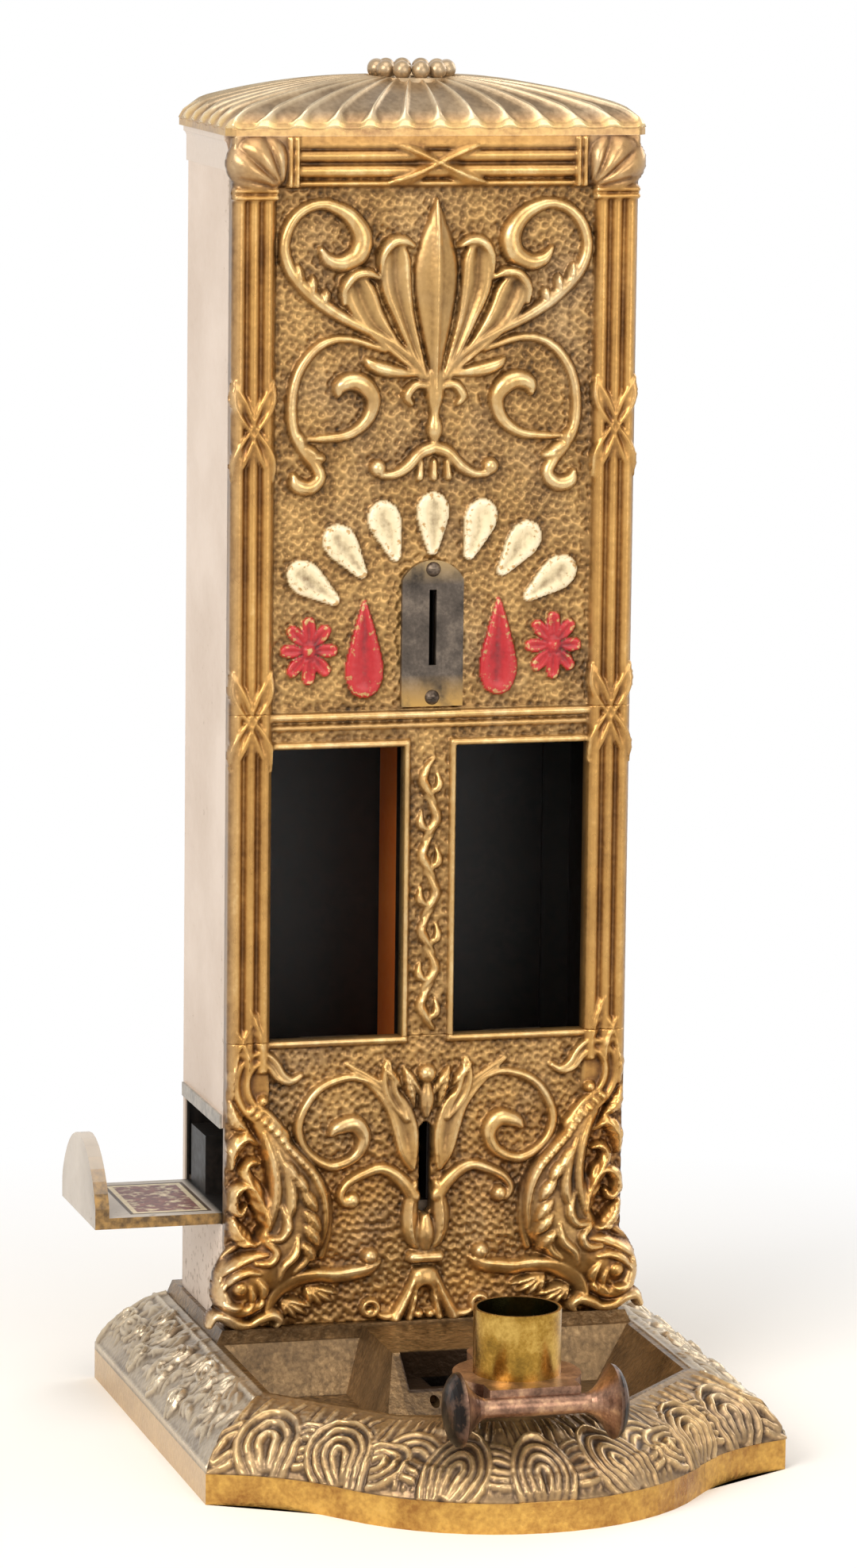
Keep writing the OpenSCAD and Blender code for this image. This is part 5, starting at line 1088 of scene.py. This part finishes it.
# The ash recess: brown and sandy, charred round the pocket, with a bright gold edge below that is painted
# paler where it faces left, and painted shade down the pocket's hole
RECESS_GILT = bronze_painted_iron(
    "brown_bronze_recess_iron", BROWN, DULL, BROWN, 0.5,
    ((SANDY, lambda t: overlap(t, facing(t, "Z", 0.95, 0.8), 0.5)),
     (CHAR, lambda t: overlap(t, add(t, "MapRange", {0: grain(t, 22.0, 4.0), 1: 0.44, 2: 0.64}), 0.55)),
     (EDGE_GOLD, lambda t: base_edge(t, "Y", -0.2, -0.5)),
     # The edge paler where it faces left: painted sheen of the light from that side
     (EDGE_SHEEN, lambda t: base_edge(t, "X", -0.8, -0.95)),
     (CHAR, lambda t: overlap(t, within(t, X=(-17.4, 17.4), Y=(-57, -33), Z=(9, 25.6)), 0.5)),
     (CHAR, lambda t: within(t, X=(-15.7, 15.7), Y=(-52, -30), Z=(18, 25.6))),
     # Near black down the pocket's hole: painted shade
     (POCKET_SHADE, lambda t: within(t, X=(-9.2, 9.2), Y=(-40.2, -30.8), Z=(2, 18.6)))),
    speckle=1.3,
)
# The roof: straw-coloured worn bronze with a golden eave, over a cream painted cove
ROOF_GILT = bronze_painted_iron(
    "greyed_bronze_roof_iron", STRAW, PALE, STRAW, 0.6,
    ((EDGE_GOLD, lambda t: overlap(t, place(t, "Z", TOP + 6.2, TOP + 3.4), 0.55)),
     (CREAM, lambda t: place(t, "Z", TOP + 0.1, TOP - 0.1))),
)
# Cream oil paint gone pinkish, grey on the hood of the opening, and painted shade inside the body
CREAM_SHEET = painted_sheet(
    "aged_cream_painted_sheet", "#dccbbc", "#cebbaa", "#86694c",
    (("#8a847c", "#b4ada3", lambda t: place(t, "X", -55.2, -55.5)),
     (*INSIDE_SHADE, lambda t: within(t, X=(-54.4, 54.4)))),
)
# The same paint on the door, with painted shade on its inner face
DOOR_SHEET = painted_sheet("aged_cream_painted_door", "#dccbbc", "#cebbaa", "#86694c",
                           ((*INSIDE_SHADE, lambda t: facing(t, "Y", -0.3, -0.6)),))
# Grey paint on the tray, brassy along its rubbed front edge, with a plain worn label in two lines and
# painted shade on its part inside the body
TRAY_PAINT = painted_sheet(
    "worn_grey_painted_tray", "#cbc1b5", "#aaa095", "#6d5a45",
    (("#5c4527", "#a8834a", lambda t: facing(t, "Y", -0.6, -0.9)),
     ("#3a2a1c", "#5c4630", lambda t: label(t, 0)),
     ("#cdbb98", "#e8d9b8", lambda t: label(t, 1)),
     ("#5c3430", "#8f625a", label_paint),
     (*INSIDE_SHADE, lambda t: place(t, "X", -56.6, -54.6))),
)
# Tinned sheet darkened to a brownish grey as painted shade inside the body, with soft clouds
TIN = worn_metal("shaded_tinned_sheet", "#2c261f", "#51473c", "#77695a", 0.7, 0.5)
# Orange paint on the partition, which shows as a warm strip behind the left window, with painted shade on
# its front part in the middle
ORANGE_SHEET = painted_sheet("orange_painted_sheet", "#ff8c3a", "#f4762a", "#5a2c12",
                             ((*INSIDE_SHADE, lambda t: within(t, X=(-2.3, 2.3), Y=(4, 26.4))),))
# Window panes: nearly black as painted shade, with a thin shine
GLASS = old_glass("shaded_dark_window_glass")
# Plain steel plate, grey in the middle and brassy where its ends have worn
PLATE_STEEL = worn_metal(
    "worn_grey_plate_steel", "#2e2823", "#524941", "#7a6d60", 0.7, 0.45, 7.0,
    (("#b08a4c", lambda t: place(t, "Z", 202, 194)), ("#a58a5e", lambda t: place(t, "Z", 226, 233))),
)
# Turned screw steel, brown and dark
SCREW_STEEL = worn_metal("dark_screw_steel", "#2a231d", "#5b4e43", "#8a7a68", 0.85, 0.42, 2.0)
# Drawn brass tube: a clear yellow shine outside, greenish and dark inside
TUBE_BRASS = worn_metal("polished_tube_brass", "#624a1f", "#a67f36", "#dab461", 1.0, 0.26, 10.0,
                        (("#4a4526", lambda t: inside_tube(t, middle_y("cigar_tube"), 10.9, 10.6)),))
# Cast bronze lever: copper brown, with the faces of its knobs blackened
LEVER_BRONZE = worn_metal(
    "copper_brown_lever_bronze", "#48332a", "#94705a", "#cfa780", 0.8, 0.34, 6.0,
    (("#1d1613", lambda t: place(t, "X", 19, 21)), ("#1d1613", lambda t: place(t, "X", -19, -21))),
)
# Ground steel: pale and even
BLADE_STEEL = worn_metal("ground_blade_steel", "#6d6860", "#a39e95", "#c9c4ba", 0.95, 0.35)
# Turned brass of the lock, dulled by keys and fingers
LOCK_BRASS = worn_metal("dull_lock_brass", "#6a4f20", "#a98540", "#d0ad62", 0.95, 0.4, 5.0)

# What each slot of the record wears, and the nodes that differ from their slot
SLOTS = {
    "gilt_cast_iron": GILT, "cream_painted_sheet": CREAM_SHEET, "tinned_sheet": TIN,
    "partition_sheet": ORANGE_SHEET, "window_glass": GLASS, "plate_steel": PLATE_STEEL,
    "dark_screw_steel": SCREW_STEEL, "tube_brass": TUBE_BRASS, "lever_bronze": LEVER_BRONZE,
    "blade_steel": BLADE_STEEL, "lock_brass": LOCK_BRASS, "slide_paint": TRAY_PAINT,
}
OTHERS = {"base_casting": RECESS_GILT, "roof_casting": ROOF_GILT, "back_door": DOOR_SHEET}
for entry in frame["record"]["subparts"]:
    mesh = NODES[entry["node"]].data
    mesh.materials.clear()
    mesh.materials.append(OTHERS.get(entry["node"], SLOTS[entry["material_slot"]]))


# Front casting

FIELD = front_field()
relief_slab("front_lower_relief", FIELD, SEAT, SILL, GILT)
relief_slab("front_window_relief", FIELD, SILL, UPPER, GILT)
relief_slab("front_upper_relief", FIELD, UPPER, TOP, GILT)


# Carved rim of the base and fluted roof

rim_skin("base_front_carving", front_lines(RIM_POINTS), carve_rocaille, RIM_GILT, "both")
rim_skin("base_right_carving", side_lines(RIM_POINTS), carve_leaves, SIDE_GILT, "no")
rim_skin("base_left_carving", side_lines(RIM_POINTS), carve_leaves, SIDE_GILT, "left")
roof_skin(ROOF_GILT)


# Stage: pale floor, soft lamps from the left, and the photograph's camera

FLOOR_HALF = 6.0
# Distances from the object between which the floor turns to plain white, in m
WHITE_FROM, WHITE_AT = 0.12, 0.34
LAMP_TINT, SKY_TINT, PAPER_TINT = "#fffaf3", "#f6f4f1", "#fdfbf8"
SKY_LIGHT = 0.46
# Name, place, aim, size in m, and watts
LAMPS = (
    ("left_window", (-1.3, -1.1, 1.1), (0, 0, 0.2), 1.0, 24),
    ("front_fill", (0.6, -1.8, 0.7), (0, 0, 0.18), 1.2, 11),
    ("top_soft", (-0.1, -0.5, 1.7), (0, 0, 0.2), 1.2, 10),
    ("right_back", (1.4, 0.8, 0.9), (0, 0, 0.2), 1.0, 8),
)
# Camera solved from the photograph: focal length and height of the picture in pixels, place in mm
FOCAL_PX, PICTURE_PX, SENSOR = 8000, 1976, 36.0
CAMERA_AT = (-441.2, -1607.1, 438.9)
# Its right, down and ahead directions
CAMERA_AXES = ((0.96484, -0.26257, 0.01147), (-0.0305, -0.15524, -0.98741), (0.26105, 0.95234, -0.15779))


def shown(tree):
    """1 for rays from the camera and those that metal and glass send on, which see the plain backdrop."""
    seen = 0.0
    for kind in ("Is Camera Ray", "Is Glossy Ray", "Is Transmission Ray"):
        ray = add(tree, "LightPath", out=kind)
        seen = add(tree, "Math", {0: seen, 1: ray}, operation="MAXIMUM")
    return seen


def lay_floor():
    """Pale paper that keeps the shadow near the object and runs to plain white away from it."""
    s = FLOOR_HALF
    mesh = bpy.data.meshes.new("floor")
    mesh.from_pydata([(-s, -s, 0), (s, -s, 0), (s, s, 0), (-s, s, 0)], [], [(0, 1, 2, 3)])
    m, t = new_material("pale_studio_paper")
    paper = add(t, "BsdfDiffuse", {"Color": colour(PAPER_TINT)})
    white = add(t, "Emission", {"Color": (1, 1, 1, 1), "Strength": 1.0})
    away = add(t, "VectorMath", {0: add(t, "TexCoord", out="Object")}, "Value", operation="LENGTH")
    far = overlap(t, add(t, "MapRange", {0: away, 1: WHITE_FROM, 2: WHITE_AT}), shown(t))
    add(t, "OutputMaterial", {"Surface": add(t, "MixShader", {0: far, 1: paper, 2: white})})
    mesh.materials.append(m)
    linked("floor", mesh)


def hang_sky():
    """Plain white backdrop with a soft light of its own."""
    world = bpy.data.worlds.new("studio")
    bpy.context.scene.world = world
    world.use_nodes = True
    t = world.node_tree
    t.nodes.clear()
    light = add(t, "Background", {"Color": colour(SKY_TINT), "Strength": SKY_LIGHT})
    white = add(t, "Background", {"Color": (1, 1, 1, 1), "Strength": 1.0})
    add(t, "OutputWorld", {"Surface": add(t, "MixShader", {0: shown(t), 1: light, 2: white})})


def set_lamp(name, at, aim, size, watts):
    data = bpy.data.lights.new(name, "AREA")
    data.energy, data.size, data.color = watts, size, colour(LAMP_TINT)[:3]
    lamp = linked(name, data)
    lamp.location = at
    lamp.rotation_euler = (Vector(aim) - Vector(at)).to_track_quat("-Z", "Y").to_euler()


def set_camera():
    data = bpy.data.cameras.new("photo_camera")
    data.sensor_width, data.sensor_fit = SENSOR, "AUTO"
    data.lens = FOCAL_PX * SENSOR / PICTURE_PX
    data.clip_end = 20
    right, down, ahead = map(Vector, CAMERA_AXES)
    turn = Matrix((right, -down, -ahead)).transposed().to_4x4()
    camera = linked("photo_camera", data)
    camera.matrix_world = Matrix.Translation(Vector(CAMERA_AT) * MM) @ turn
    bpy.context.scene.camera = camera


lay_floor()
hang_sky()
for row in LAMPS:
    set_lamp(*row)
set_camera()
bpy.context.scene.view_settings.view_transform = "Standard"
